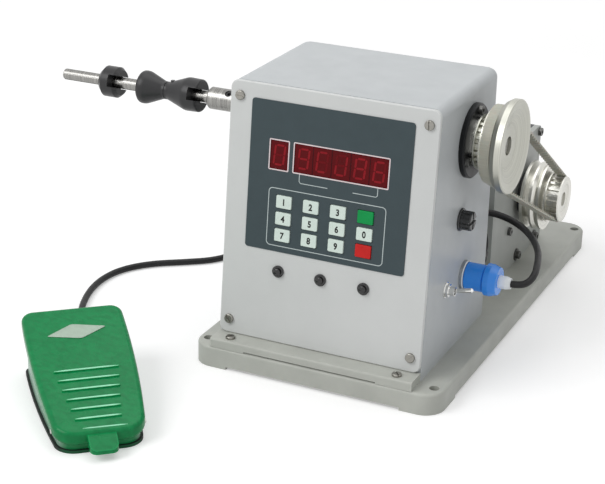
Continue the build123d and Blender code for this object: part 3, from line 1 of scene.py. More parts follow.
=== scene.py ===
"""Looks for the coil winding machine. Metres, the model's own frame, +Z up."""
import math

import bpy
from mathutils import Matrix, Vector


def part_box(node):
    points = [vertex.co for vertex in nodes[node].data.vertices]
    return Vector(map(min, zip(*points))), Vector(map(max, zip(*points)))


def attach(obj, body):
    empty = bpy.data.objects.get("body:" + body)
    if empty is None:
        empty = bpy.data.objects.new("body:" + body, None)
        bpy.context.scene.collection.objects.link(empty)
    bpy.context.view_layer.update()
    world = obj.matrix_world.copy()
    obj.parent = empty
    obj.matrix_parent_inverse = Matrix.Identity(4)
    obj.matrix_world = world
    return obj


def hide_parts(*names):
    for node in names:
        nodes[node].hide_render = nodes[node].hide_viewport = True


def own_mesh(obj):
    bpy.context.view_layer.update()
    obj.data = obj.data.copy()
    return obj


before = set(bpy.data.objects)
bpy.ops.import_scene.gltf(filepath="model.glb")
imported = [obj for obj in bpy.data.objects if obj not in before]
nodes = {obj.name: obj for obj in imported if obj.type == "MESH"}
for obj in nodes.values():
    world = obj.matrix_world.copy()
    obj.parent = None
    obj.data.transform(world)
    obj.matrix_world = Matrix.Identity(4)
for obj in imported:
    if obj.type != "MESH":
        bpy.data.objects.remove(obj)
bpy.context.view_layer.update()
MM = 0.001

# ------------------------------------------------------------------ camera
PHOTO_WIDTH = 605
FOCAL_PIXELS = 1661.55
SENSOR_WIDTH = 36.0
CAMERA_NEAR, CAMERA_FAR = 0.05, 50.0
CAMERA_EYE = Vector((0.3873, -1.0180, 0.4857))
CAMERA_AZIMUTH = math.radians(24.75)
CAMERA_ELEVATION = math.radians(22.26)
CAMERA_ROLL = math.radians(1.21)


def make_camera():
    data = bpy.data.cameras.new("camera")
    data.sensor_fit = "HORIZONTAL"
    data.sensor_width = SENSOR_WIDTH
    data.lens = FOCAL_PIXELS / PHOTO_WIDTH * data.sensor_width
    data.clip_start = CAMERA_NEAR
    data.clip_end = CAMERA_FAR
    a, e, r = CAMERA_AZIMUTH, CAMERA_ELEVATION, CAMERA_ROLL
    back = Vector((math.sin(a) * math.cos(e), -math.cos(a) * math.cos(e), math.sin(e)))
    right = Vector((math.cos(a), math.sin(a), 0.0))
    up = back.cross(right)
    right_rolled = right * math.cos(r) + up * math.sin(r)
    up_rolled = up * math.cos(r) - right * math.sin(r)
    turn = Matrix((right_rolled, up_rolled, back)).transposed()
    camera = bpy.data.objects.new("camera", data)
    camera.matrix_world = Matrix.Translation(CAMERA_EYE) @ turn.to_4x4()
    bpy.context.scene.collection.objects.link(camera)
    bpy.context.scene.camera = camera


make_camera()


# ------------------------------------------------------------------ node helpers
EDGE_WIDTH = 0.0009
EDGE_LOW, EDGE_HIGH = 0.02, 0.22
NOISE_LOW, NOISE_HIGH = 0.3, 0.7


def rgb(*shown):
    """A colour written as it looks, 0 to 255, as linear light."""
    parts = [c / 255 for c in shown]
    return tuple(c / 12.92 if c <= 0.04045 else ((c + 0.055) / 1.055) ** 2.4 for c in parts) + (1.0,)


def shade(colour, factor):
    return tuple(min(c * factor, 1.0) for c in colour[:3]) + (1.0,)


def new_material(name):
    material = bpy.data.materials.new(name)
    material.use_nodes = True
    material.node_tree.nodes.clear()
    return material


class Tree:
    """A short way of writing shader nodes."""

    def __init__(self, owner):
        self.tree = owner.node_tree

    def node(self, kind, **values):
        made = self.tree.nodes.new(kind)
        for key, value in values.items():
            setattr(made, key, value)
        return made

    def link(self, source, target):
        self.tree.links.new(source, target)

    def value(self, node, socket, value):
        if hasattr(value, "links"):
            self.link(value, node.inputs[socket])
        else:
            node.inputs[socket].default_value = value

    def noise(self, scale, detail=3.0, rough=0.5, stretch=(1, 1, 1)):
        place = self.node("ShaderNodeTexCoord")
        mapping = self.node("ShaderNodeMapping")
        self.link(place.outputs["Object"], mapping.inputs["Vector"])
        mapping.inputs["Scale"].default_value = stretch
        return self.noise_at(mapping.outputs["Vector"], scale, detail, rough)

    def noise_at(self, place, scale, detail=3.0, rough=0.5):
        node = self.node("ShaderNodeTexNoise")
        self.link(place, node.inputs["Vector"])
        node.inputs["Scale"].default_value = scale
        node.inputs["Detail"].default_value = detail
        node.inputs["Roughness"].default_value = rough
        return node.outputs["Fac"]

    def mottled(self, factor, colour, darker, lighter, low=NOISE_LOW, high=NOISE_HIGH):
        """The colour, from darker to lighter as a noise goes from low to high."""
        node = self.node("ShaderNodeValToRGB")
        self.link(factor, node.inputs["Fac"])
        for element, place, share in zip(node.color_ramp.elements, (low, high), (darker, lighter)):
            element.position = place
            element.color = shade(colour, share)
        return node.outputs["Color"]

    def levels(self, factor, low, high, to_low=0.0, to_high=1.0):
        node = self.node("ShaderNodeMapRange")
        self.link(factor, node.inputs["Value"])
        node.inputs["From Min"].default_value = low
        node.inputs["From Max"].default_value = high
        node.inputs["To Min"].default_value = to_low
        node.inputs["To Max"].default_value = to_high
        return node.outputs["Result"]

    def shine(self, factor, smooth, dull, low=NOISE_LOW, high=NOISE_HIGH):
        """Roughness that drifts with a noise."""
        return self.levels(factor, low, high, smooth, dull)

    def mix(self, factor, first, second):
        node = self.node("ShaderNodeMix", data_type="RGBA", blend_type="MIX")
        self.value(node, 0, factor)
        self.value(node, 6, first)
        self.value(node, 7, second)
        return node.outputs[2]

    def maths(self, operation, first, second):
        node = self.node("ShaderNodeMath", operation=operation)
        self.value(node, 0, first)
        self.value(node, 1, second)
        return node.outputs["Value"]

    def vector(self, operation, first, second=None):
        """A vector operation. Each side is a socket or three numbers."""
        node = self.node("ShaderNodeVectorMath", operation=operation)
        self.value(node, 0, first)
        if second is not None:
            self.value(node, 1, second)
        return node.outputs["Value" if operation in ("DOT_PRODUCT", "LENGTH") else "Vector"]

    def bump(self, height, distance, strength=1.0):
        node = self.node("ShaderNodeBump")
        self.link(height, node.inputs["Height"])
        node.inputs["Distance"].default_value = distance
        node.inputs["Strength"].default_value = strength
        return node.outputs["Normal"]

    def worn(self, tinted, colour, amount, lighter, width=EDGE_WIDTH):
        """The same, lighter near an edge, where the rounded normal turns away from the real one. Edge wear
        on most looks, and on the enamel a painted highlight along its edges.
        """
        rounded_edge = self.node("ShaderNodeBevel", samples=4)
        rounded_edge.inputs["Radius"].default_value = width
        geometry = self.node("ShaderNodeNewGeometry")
        facing = self.vector("DOT_PRODUCT", rounded_edge.outputs["Normal"], geometry.outputs["Normal"])
        near = self.levels(self.maths("SUBTRACT", 1.0, facing), EDGE_LOW, EDGE_HIGH)
        return self.mix(self.maths("MULTIPLY", near, amount), tinted, shade(colour, lighter))

    def surface(self, colour, rough, metallic, normal, **constants):
        shader = self.node("ShaderNodeBsdfPrincipled")
        self.value(shader, "Base Color", colour)
        self.value(shader, "Roughness", rough)
        shader.inputs["Metallic"].default_value = metallic
        self.link(normal, shader.inputs["Normal"])
        for key, value in constants.items():
            shader.inputs[key].default_value = value
        output = self.node("ShaderNodeOutputMaterial")
        self.link(shader.outputs["BSDF"], output.inputs["Surface"])
        return shader


# ------------------------------------------------------------------ materials
def paint(
    name, colour, rough=0.4, grain=0.00003, grain_scale=900.0, mottle=0.06, wear=0.25, specular=0.3
):
    """Sprayed paint: fine orange peel, slow mottling, lighter edges where it has rubbed."""
    material = new_material(name)
    t = Tree(material)
    slow = t.noise(scale=38.0, detail=4.0, rough=0.55)
    base = t.mottled(slow, colour, darker=1 - mottle, lighter=1 + mottle)
    tinted = t.worn(base, colour, amount=wear, lighter=1.5)
    shine = t.shine(t.noise(scale=90.0), smooth=rough - 0.05, dull=rough + 0.07)
    peel = t.bump(t.noise(grain_scale, detail=2.0), grain)
    t.surface(tinted, shine, metallic=0.0, normal=peel, **{"Specular IOR Level": specular})
    return material


def cast_enamel(name, colour, rough):
    """Glossy enamel over a rough casting: soft dimples, darker in the hollows, and a painted highlight
    along its edges.
    """
    material = new_material(name)
    t = Tree(material)
    dimples = t.noise(scale=210.0, detail=2.5, rough=0.45, stretch=(1.0, 1.6, 1.0))
    base = t.mottled(t.noise(scale=40.0), colour, darker=0.93, lighter=1.08)
    hollow = t.levels(dimples, low=0.35, high=0.6, to_low=0.30, to_high=0.0)
    dimpled = t.mix(hollow, base, shade(colour, 0.5))
    # Much lighter edges: a painted highlight along the enamel's ribs and edges.
    tinted = t.worn(dimpled, colour, amount=0.5, lighter=2.2, width=0.0016)
    shine = t.shine(t.noise(scale=120.0), smooth=rough - 0.04, dull=rough + 0.08)
    relief = t.bump(dimples, distance=0.00035, strength=0.6)
    gloss = {"Specular IOR Level": 0.12, "Coat Weight": 0.06, "Coat Roughness": 0.08}
    t.surface(tinted, shine, metallic=0.0, normal=relief, **gloss)
    return material


def steel(name, colour, rough=0.28, stretch=(1, 1, 1), scale=300.0, grain=0.00002, contrast=0.10):
    """Machined or brushed metal with fine tool marks along one direction."""
    material = new_material(name)
    t = Tree(material)
    marks = t.noise(scale, detail=4.0, rough=0.6, stretch=stretch)
    span = {"low": 0.25, "high": 0.75}
    base = t.mottled(marks, colour, darker=1 - contrast, lighter=1 + contrast, **span)
    tinted = t.worn(base, colour, amount=0.4, lighter=1.35)
    shine = t.shine(marks, smooth=rough - 0.06, dull=rough + 0.09, **span)
    t.surface(tinted, shine, metallic=1.0, normal=t.bump(marks, grain))
    return material


def turned(name, colour, axis, rough, contrast):
    """Metal from a lathe, with rings round an axis that runs along X through a point."""
    material = new_material(name)
    t = Tree(material)
    place = t.node("ShaderNodeTexCoord")
    arm = t.vector("SUBTRACT", place.outputs["Object"], (0.0, axis[0] * MM, axis[1] * MM))
    parts = t.node("ShaderNodeSeparateXYZ")
    t.link(arm, parts.inputs["Vector"])
    across = t.node("ShaderNodeCombineXYZ")
    t.link(parts.outputs["Y"], across.inputs["Y"])
    t.link(parts.outputs["Z"], across.inputs["Z"])
    rings = t.node("ShaderNodeCombineXYZ")
    t.link(parts.outputs["X"], rings.inputs["X"])
    t.link(t.vector("LENGTH", across.outputs["Vector"]), rings.inputs["Y"])
    marks = t.noise_at(rings.outputs["Vector"], scale=1400.0)
    tangent = t.vector("NORMALIZE", t.vector("CROSS_PRODUCT", (1.0, 0.0, 0.0), arm))
    base = t.mottled(marks, colour, darker=1 - contrast, lighter=1 + contrast)
    tinted = t.worn(base, colour, amount=0.4, lighter=1.3)
    shine = t.shine(marks, smooth=rough - 0.05, dull=rough + 0.08)
    relief = t.bump(marks, distance=0.00001)
    shader = t.surface(tinted, shine, metallic=1.0, normal=relief, Anisotropic=0.6)
    t.link(tangent, shader.inputs["Tangent"])
    return material


def plastic(
    name, colour, rough=0.35, grain=0.00002, grain_scale=1500.0, mottle=0.04, wear=0.12, specular=0.3
):
    """Moulded plastic or rubber with a fine tooled grain."""
    material = new_material(name)
    t = Tree(material)
    base = t.mottled(t.noise(scale=120.0), colour, darker=1 - mottle, lighter=1 + mottle)
    tinted = t.worn(base, colour, amount=wear, lighter=2.0)
    shine = t.shine(t.noise(scale=260.0), smooth=max(rough - 0.05, 0.02), dull=rough + 0.06)
    tooled = t.bump(t.noise(grain_scale, detail=2.0), grain)
    t.surface(tinted, shine, metallic=0.0, normal=tooled, **{"Specular IOR Level": specular})
    return material


def ink(name, colour):
    """A printed line or figure."""
    return plastic(name, colour, rough=0.5, grain=0.000004, mottle=0.03, wear=0.0)


def behind_window(name, colour):
    """What shows through the red windows."""
    return plastic(name, colour, rough=0.3, grain=0.000004, mottle=0.08, wear=0.0, specular=0.1)


def belt_rubber(name, colour):
    """Moulded belt: a fine ribbing across its back from the mould."""
    material = new_material(name)
    t = Tree(material)
    across = t.noise(scale=1100.0, detail=2.0, stretch=(0.12, 1.0, 1.0))
    slow = t.noise(scale=90.0)
    base = t.mottled(slow, colour, darker=0.94, lighter=1.04)
    groove = t.levels(across, low=0.4, high=0.6, to_low=0.25, to_high=0.0)
    ribbed = t.mix(groove, base, shade(colour, 0.62))
    tinted = t.worn(ribbed, colour, amount=0.3, lighter=1.3, width=0.0006)
    shine = t.shine(slow, smooth=0.42, dull=0.55)
    soft = {"Subsurface Weight": 0.1, "Subsurface Scale": 0.002}
    t.surface(tinted, shine, metallic=0.0, normal=t.bump(across, distance=0.00004), **soft)
    return material


def two_tone(name, side, front, way, rough):
    """Paint of one colour on the faces turned one way, and of another colour on the others. On the pedal
    base, the paler other faces are a painted reflection.
    """
    material = new_material(name)
    t = Tree(material)
    geometry = t.node("ShaderNodeNewGeometry")
    facing = t.vector("DOT_PRODUCT", geometry.outputs["Normal"], way)
    slow = t.noise(scale=60.0)
    side_tint = t.mottled(slow, side, darker=0.9, lighter=1.1)
    toe_tint = t.mottled(slow, front, darker=0.92, lighter=1.08)
    tinted = t.mix(t.levels(facing, low=0.45, high=0.85), side_tint, toe_tint)
    shine = t.shine(t.noise(scale=120.0), smooth=rough - 0.05, dull=rough + 0.08)
    relief = t.bump(t.noise(scale=400.0, detail=2.0), distance=0.00003)
    t.surface(tinted, shine, metallic=0.0, normal=relief, **{"Specular IOR Level": 0.25})
    return material


SPINDLE_AXIS = (-75.2, 152.1)
MOTOR_AXIS = tuple((low + high) / 2 / MM for low, high in list(zip(*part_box("motor_pulley")))[1:])
TOE_WAY = (0.656, -0.755, 0.0)

# Paint and plastic: colour, roughness, grain's depth and scale, mottling, edge wear, specular level.
# Steel: colour, roughness, stretch and scale of its marks, their depth, contrast.
# Turned metal: colour, axis, roughness, contrast.
M = {
    "base": paint("base_paint_look", rgb(183, 185, 178), 0.42, 0.00006, 420.0, 0.07, 0.5),
    "housing": paint("housing_paint_look", rgb(194, 198, 200), 0.38, 0.00003, 900.0, 0.03, 0.35, 0.2),
    "panel": paint("panel_look", rgb(212, 214, 213), 0.36, 0.00002, 1100.0, 0.02, 0.5),
    "overlay": plastic("overlay_look", rgb(66, 78, 82), 0.42, 0.00001, 1800.0, 0.03, 0.0, 0.2),
    "window": plastic("window_look", rgb(96, 7, 14), 0.12, 0.000005, 900.0, 0.10, 0.0, 0.1),
    "digit": plastic("digit_look", rgb(90, 12, 18), 0.5),
    "board": plastic("board_look", rgb(25, 90, 55), 0.4),
    "key_white": plastic("key_white_look", rgb(220, 234, 226), 0.45, 0.00001, 1600.0, 0.03, 0.0),
    "key_green": plastic("key_green_look", rgb(10, 150, 76), 0.4, 0.00001, 1600.0, 0.05, 0.1, 0.2),
    "key_red": plastic("key_red_look", rgb(202, 36, 34), 0.4, 0.00001, 1600.0, 0.05, 0.1, 0.2),
    "black": plastic("black_plastic_look", rgb(34, 34, 35), 0.3, 0.00002, 1500.0, 0.1, 0.1),
    "fuse": plastic("fuse_plastic_look", rgb(66, 67, 68), 0.26, 0.00002, 1500.0, 0.1, 0.25),
    "rubber": plastic("cord_look", rgb(30, 30, 31), 0.5, 0.00003, 1200.0, 0.1, 0.0),
    "screw": steel("screw_look", rgb(146, 144, 138), 0.32, (1, 1, 1), 900.0),
    "dark_screw": steel("dark_screw_look", rgb(96, 96, 94), 0.3, (1, 1, 1), 900.0),
    "black_steel": paint("black_steel_look", rgb(52, 52, 53), 0.34, 0.00002, 900.0, 0.1, 0.8),
    "flange": paint("flange_look", rgb(22, 24, 26), 0.36, 0.00002, 900.0, 0.08, 0.5, 0.2),
    "steel": turned("spindle_look", rgb(144, 143, 140), SPINDLE_AXIS, 0.26, 0.22),
    "pin": steel("pin_look", rgb(190, 189, 184), 0.3),
    "bearing": steel("bearing_look", rgb(196, 196, 190), 0.25, (30, 1, 1), 60.0),
    "pulley": turned("pulley_look", rgb(182, 182, 173), SPINDLE_AXIS, 0.32, 0.12),
    "pulley_light": turned("motor_pulley_look", rgb(214, 213, 206), MOTOR_AXIS, 0.3, 0.14),
    "belt": belt_rubber("belt_look", rgb(180, 179, 166)),
    "bracket": paint("bracket_look", rgb(170, 173, 169), 0.42, 0.00005, 500.0, 0.06, 0.5),
    "motor": paint("motor_look", rgb(58, 60, 62), 0.4, 0.00004, 600.0, 0.06, 0.4),
    "chrome": steel("chrome_look", rgb(228, 228, 226), 0.18, (1, 1, 1), 200.0, 0.000004, 0.04),
    "socket": steel("socket_look", rgb(170, 174, 178), 0.3),
    "blue": plastic("plug_blue_look", rgb(58, 150, 255), 0.16, 0.00001, 900.0, 0.05, 0.15, 0.4),
    "gland": plastic("gland_look", rgb(240, 244, 246), 0.45),
    "core": paint("core_look", rgb(80, 80, 84), 0.5),
    "green": cast_enamel("pedal_green_look", rgb(20, 134, 76), 0.22),
    # Light green for the beads on the treadle's ribs and front edge: a painted highlight.
    "green_painted_highlight": plastic("rib_painted_highlight_look", rgb(160, 236, 196), 0.25, 0.00001, 700.0, 0.08, 0.0),
    # Pedal base: green on the faces turned to the toe, and paler on the others as a painted reflection.
    "green_side": two_tone("pedal_side_look", rgb(132, 166, 146), rgb(26, 132, 76), TOE_WAY, 0.3),
    "sole": two_tone("sole_look", rgb(26, 34, 30), rgb(18, 78, 48), TOE_WAY, 0.55),
    "disc": steel("disc_look", rgb(190, 190, 188), 0.35),
    "white_line": ink("printed_line_look", rgb(196, 206, 206)),
    "frame_line": ink("window_frame_look", rgb(232, 216, 218)),
    "black_print": ink("printed_black_look", rgb(24, 24, 24)),
    "segment": behind_window("segment_look", rgb(142, 26, 34)),
    "segment_dim": behind_window("segment_dim_look", rgb(108, 11, 19)),
    "seam": behind_window("module_seam_look", rgb(60, 6, 12)),
    "gloss_black": plastic("gloss_black_look", rgb(24, 24, 25), 0.12, 0.000004, 1500.0, 0.1, 0.1, 0.6),
    "badge": steel("badge_look", rgb(150, 165, 152), 0.35),
}
LOOK = {
    "base_plate": "base", "housing_floor": "base", "housing_shell": "housing", "front_panel": "panel",
    "keypad_overlay": "overlay", "display_windows": "window", "digit_modules": "digit",
    "control_board": "board", "button_bezels": "gloss_black", "button_left": "gloss_black",
    "button_middle": "gloss_black", "button_right": "gloss_black", "slotted_screws": "screw",
    "cap_screws": "dark_screw", "bearing_flanges": "flange", "spindle_bearings": "bearing",
    "spindle": "steel", "set_screws": "black_steel", "winding_shaft": "steel",
    "inner_cone": "black_steel", "outer_cone": "black_steel", "clamp_collar": "black_steel",
    "count_disc": "disc", "turn_sensor": "black", "spindle_pulley": "pulley",
    "motor_pulley": "pulley_light", "drive_belt": "belt", "motor_bracket": "bracket",
    "motor_body": "motor", "motor_shaft": "pin", "motor_lead": "rubber", "fuse_holder": "fuse",
    "fuse_cap": "fuse", "toggle_switch": "chrome", "toggle_lever": "chrome", "pedal_socket": "socket",
    "plug_shell": "blue", "plug_gland": "gland", "power_transformer": "core", "treadle": "green",
    "pedal_base": "green_side", "pedal_sole": "sole", "pivot_pin": "pin", "treadle_spring": "pin",
    "micro_switch": "black", "key_start": "key_green", "key_reset": "key_red",
}
for number in range(10):
    LOOK[f"key_{number}"] = "key_white"
for node, look in LOOK.items():
    for one in nodes[node].material_slots:
        one.link = "OBJECT"
        one.material = M[look]


# ------------------------------------------------------------------ mesh helpers
def add_mesh(name, vertices, faces, look, body, smooth=False):
    mesh = bpy.data.meshes.new(name)
    mesh.from_pydata([tuple(v) for v in vertices], [], faces)
    mesh.update()
    if smooth:
        for polygon in mesh.polygons:
            polygon.use_smooth = True
    piece = bpy.data.objects.new(name, mesh)
    bpy.context.scene.collection.objects.link(piece)
    mesh.materials.append(M[look])
    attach(piece, body)
    return piece


# ------------------------------------------------------------------ the front panel
# Places on the panel are across, up and out of it, in millimetres from the foot of its middle.
LEAN = math.radians(5.5)
PANEL_SHEET = 3.0
PANEL_ACROSS = Vector((1, 0, 0))
PANEL_UP = Vector((0, math.sin(LEAN), math.cos(LEAN)))
PANEL_OUT = Vector((0, -math.cos(LEAN), math.sin(LEAN)))
PANEL_FOOT = Vector((-2.0, -148.4, 20.4 + PANEL_SHEET * math.sin(LEAN))) * MM
OVERLAY_FACE = 0.5
KEY_HEIGHT = 0.9
PRINT_LIFT, PRINT_SINK = 0.06, 0.02

WINDOW_ROW = 123.6
WINDOW_HALF = 9.6
MODULE_PITCH = 12.7
COUNT_CENTRE, COUNT_DIGITS = 7.9, 5
PROGRAM_CENTRE = -34.1
FRAME_MARGIN, FRAME_CORNER, FRAME_LINE = 0.25, 0.5, 0.75
KEYPAD_FRAME, KEYPAD_CORNER, KEYPAD_LINE = (-39.6, 39.8, 64.8, 102.2), 2.6, 0.5
BRACKET_LINE = 0.45
BRACKETS = (
    ("bracket_left", [(-19.4, 113.6), (-19.4, 109.0), (-18.4, 107.9), (0.0, 107.9)]),
    ("bracket_right", [(17.0, 107.9), (32.4, 107.9), (33.4, 108.9), (33.4, 113.6)]),
)
MITRE_LIMIT = 0.4


def on_panel(u, v, w):
    return PANEL_FOOT + (PANEL_ACROSS * u + PANEL_UP * v + PANEL_OUT * w) * MM


def rounded(points, radius, steps):
    """Corner points of a closed outline with its corners rounded."""
    out = []
    count = len(points)
    for index in range(count):
        before = Vector(points[index - 1])
        here = Vector(points[index])
        after = Vector(points[(index + 1) % count])
        first = (before - here).normalized() * radius
        second = (after - here).normalized() * radius
        centre = here + first + second
        for step in range(steps + 1):
            a = math.pi / 2 * step / steps
            out.append(tuple(centre - second * math.cos(a) - first * math.sin(a)))
    return out


def ribbon(name, outline, width, closed, look):
    """A printed line of a given width, drawn on the panel."""
    points = [Vector(p) for p in outline]
    count = len(points)
    left, right = [], []
    for index, here in enumerate(points):
        before = points[index - 1] if closed or index else None
        after = points[(index + 1) % count] if closed or index < count - 1 else None
        one = (here - before).normalized() if before is not None else None
        two = (after - here).normalized() if after is not None else None
        one = one or two
        two = two or one
        way = (one + two).normalized()
        side = Vector((-way.y, way.x)) / max(way.dot(one), MITRE_LIMIT)
        left.append(here + side * width / 2)
        right.append(here - side * width / 2)
    vertices = []
    for a, b in zip(left, right):
        for w in (OVERLAY_FACE + PRINT_LIFT, OVERLAY_FACE - PRINT_SINK):
            vertices += [on_panel(a.x, a.y, w), on_panel(b.x, b.y, w)]
    faces = []
    for index in range(count if closed else count - 1):
        a = 4 * index
        b = 4 * ((index + 1) % count)
        faces += [(a, a + 1, b + 1, b), (a + 2, a, b, b + 2), (a + 1, a + 3, b + 3, b + 1)]
    add_mesh(name, vertices, faces, look, "machine")


def rectangle(u0, u1, v0, v1):
    return [(u0, v0), (u1, v0), (u1, v1), (u0, v1)]


def window_frame(name, centre, digits):
    """The printed frame round a window of so many digits."""
    half = digits * MODULE_PITCH / 2 + FRAME_MARGIN
    corners = rectangle(centre - half, centre + half, WINDOW_ROW - WINDOW_HALF, WINDOW_ROW + WINDOW_HALF)
    ribbon(name, rounded(corners, FRAME_CORNER, 3), FRAME_LINE, True, "frame_line")


window_frame("count_frame", COUNT_CENTRE, COUNT_DIGITS)
window_frame("program_frame", PROGRAM_CENTRE, 1)
ribbon("keypad_frame", rounded(rectangle(*KEYPAD_FRAME), KEYPAD_CORNER, 6), KEYPAD_LINE, True, "white_line")
for name, points in BRACKETS:
    ribbon(name, points, BRACKET_LINE, False, "white_line")

FIGURE_SIZE, FIGURE_WIDTH = 5.7, 0.85
FIGURE_EXTRUDE, FIGURE_STROKE = 0.02, 0.27
FIGURE_DROP, FIGURE_SINK = 0.1, 0.15


def key_digit(node, text):
    """A number printed on a key's face."""
    low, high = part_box(node)
    local = (Vector(low) + Vector(high)) / 2 - PANEL_FOOT
    u = local.dot(PANEL_ACROSS) / MM
    v = local.dot(PANEL_UP) / MM
    data = bpy.data.curves.new(f"{node}_digit", "FONT")
    data.body = text
    data.size = FIGURE_SIZE * MM
    data.extrude = FIGURE_EXTRUDE * MM
    data.bevel_depth = FIGURE_STROKE * MM
    data.bevel_resolution = 1
    data.align_x = "CENTER"
    data.align_y = "CENTER"
    piece = bpy.data.objects.new(f"{node}_digit", data)
    bpy.context.scene.collection.objects.link(piece)
    place = on_panel(u, v - FIGURE_DROP, OVERLAY_FACE + KEY_HEIGHT - FIGURE_SINK)
    turn = Matrix((PANEL_ACROSS, PANEL_UP, PANEL_OUT)).transposed().to_4x4()
    narrow = Matrix.Diagonal((FIGURE_WIDTH, 1.0, 1.0, 1.0))
    piece.matrix_world = Matrix.Translation(place) @ turn @ narrow
    data.materials.append(M["black_print"])
    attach(piece, f"{node}_body")


for number in range(10):
    key_digit(f"key_{number}", str(number))

SEGMENT_BAR = 1.3
SEGMENT_HALF_WIDTH, SEGMENT_HALF_HEIGHT = 3.3, 6.2
SEGMENT_SLANT = 0.09
SEGMENT_LIFT = 0.02
SEAM_HALF_WIDTH, SEAM_HALF_HEIGHT, SEAM_HEIGHT = 0.3, 9.0, 0.03
COUNT_BRIGHTER = ("abcdfg", "adef", "bcde", "abcdefg", "acdefg")
PROGRAM_BRIGHTER = "abcdef"


def bar_shape(width, height, point):
    """One segment of a digit, pointed at its two ends."""
    w, h = width / 2, height / 2
    if width > height:
        return [(-w, -h), (w, -h), (w + point, 0), (w, h), (-w, h), (-w - point, 0)]
    return [(-w, -h), (0, -h - point), (w, -h), (w, h), (0, h + point), (-w, h)]


def segment_digit(name, u, brighter):
    """The unlit segments of one digit, some plainer than others, seen through the red window."""
    bar, w, h = SEGMENT_BAR, SEGMENT_HALF_WIDTH, SEGMENT_HALF_HEIGHT
    length = 2 * w - 2 * bar
    tall = h - bar
    places = {
        "a": (0, h, length, bar), "g": (0, 0, length, bar), "d": (0, -h, length, bar),
        "f": (-w, h / 2, bar, tall), "e": (-w, -h / 2, bar, tall),
        "b": (w, h / 2, bar, tall), "c": (w, -h / 2, bar, tall),
    }
    for look, chosen in (("segment", brighter), ("segment_dim", [k for k in places if k not in brighter])):
        vertices, faces = [], []
        for key in chosen:
            du, dv, width, height = places[key]
            start = len(vertices)
            shape = bar_shape(width, height, bar / 2)
            for x, y in shape:
                lean = (dv + y) * SEGMENT_SLANT
                vertices.append(on_panel(u + du + x + lean, WINDOW_ROW + dv + y, SEGMENT_LIFT))
            faces.append(tuple(range(start, start + len(shape))))
        if faces:
            add_mesh(f"{name}_{look}", vertices, faces, look, "machine")


def module_seam(name, u):
    """The dark gap between two digit modules, as a thin strip."""
    low, high = WINDOW_ROW - SEAM_HALF_HEIGHT, WINDOW_ROW + SEAM_HALF_HEIGHT
    corners = rectangle(u - SEAM_HALF_WIDTH, u + SEAM_HALF_WIDTH, low, high)
    vertices = [on_panel(x, y, w) for w in (SEAM_HEIGHT, 0.0) for x, y in corners]
    faces = [(0, 1, 2, 3)] + [(i, i + 4, (i + 1) % 4 + 4, (i + 1) % 4) for i in range(4)]
    add_mesh(name, vertices, faces, "seam", "machine")


for index, brighter in enumerate(COUNT_BRIGHTER):
    segment_digit(f"count_digit_{index}", COUNT_CENTRE + (index - 2) * MODULE_PITCH, brighter)
segment_digit("program_digit", PROGRAM_CENTRE, PROGRAM_BRIGHTER)
for index in range(1, COUNT_DIGITS):
    module_seam(f"module_seam_{index}", COUNT_CENTRE + (index - 2.5) * MODULE_PITCH)

BUTTON_MIDDLE, BUTTON_PITCH, BUTTON_ROW, BUTTON_FACE = -0.8, 29.4, 47.9, 3.19
DOME_RADIUS, DOME_HEIGHT, DOME_RINGS, DOME_SPOKES = 1.7, 0.45, 6, 28


def button_crown(button, u):
    """The shallow dome of a button's face."""
    vertices = [on_panel(u, BUTTON_ROW, BUTTON_FACE + DOME_HEIGHT)]
    for ring in range(1, DOME_RINGS + 1):
        part = ring / DOME_RINGS
        height = BUTTON_FACE + DOME_HEIGHT * math.cos(part * math.pi / 2)
        reach = DOME_RADIUS * part
        for spoke in range(DOME_SPOKES):
            a = 2 * math.pi * spoke / DOME_SPOKES
            vertices.append(on_panel(u + reach * math.cos(a), BUTTON_ROW + reach * math.sin(a), height))
    faces = [(0, 1 + spoke, 1 + (spoke + 1) % DOME_SPOKES) for spoke in range(DOME_SPOKES)]
    for ring in range(DOME_RINGS - 1):
        a, b = 1 + ring * DOME_SPOKES, 1 + (ring + 1) * DOME_SPOKES
        for spoke in range(DOME_SPOKES):
            following = (spoke + 1) % DOME_SPOKES
            faces.append((a + spoke, b + spoke, b + following, a + following))
    add_mesh(f"{button}_crown", vertices, faces, "gloss_black", f"{button}_body", True)


for index, button in enumerate(("button_left", "button_middle", "button_right")):
    button_crown(button, BUTTON_MIDDLE + (index - 1) * BUTTON_PITCH)


# ------------------------------------------------------------------ the pedal
PEDAL_TOE = Vector((-75.0, -289.5, 0.0))
PEDAL_TURN = math.radians(41.0)
TREADLE_TOE_HEIGHT, TREADLE_REAR_HEIGHT, TREADLE_LENGTH = 14.0, 41.5, 118.0
TREADLE_SLOPE = (TREADLE_REAR_HEIGHT - TREADLE_TOE_HEIGHT) / TREADLE_LENGTH

PLATE_CORNERS = ((-19.3, 89.6), (2.0, 84.9), (19.2, 94.6), (-2.4, 99.6))
PLATE_CORNER_SHARE, PLATE_CORNER_STEPS = 0.09, 4
PLATE_LEVELS = ((1.0, -0.1), (1.0, 0.35), (0.97, 0.5), (0.91, 0.5), (0.88, 0.36))

RIB_COUNT, RIB_FIRST, RIB_PITCH = 6, 11.5, 8.75
RIB_LENGTH, RIB_GROWTH, RIB_TOP = 28.0, 2.45, 0.9
CROWN_PROFILE = ((-1.0, 0.0), (-0.6, 0.75), (0.0, 1.0), (0.6, 0.75), (1.0, 0.0))
CROWN_STEPS, CROWN_TIP, CROWN_TAPER = 12, 0.25, 5
CROWN_SINK, CROWN_RISE, CROWN_SHORT = 0.05, 0.3, 0.4
RIB_CROWN_HALF, EDGE_CROWN_HALF = 0.7, 0.55
EDGE_CROWN_START, EDGE_CROWN_END = (-10.5, 3.7), (16.0, 3.3)


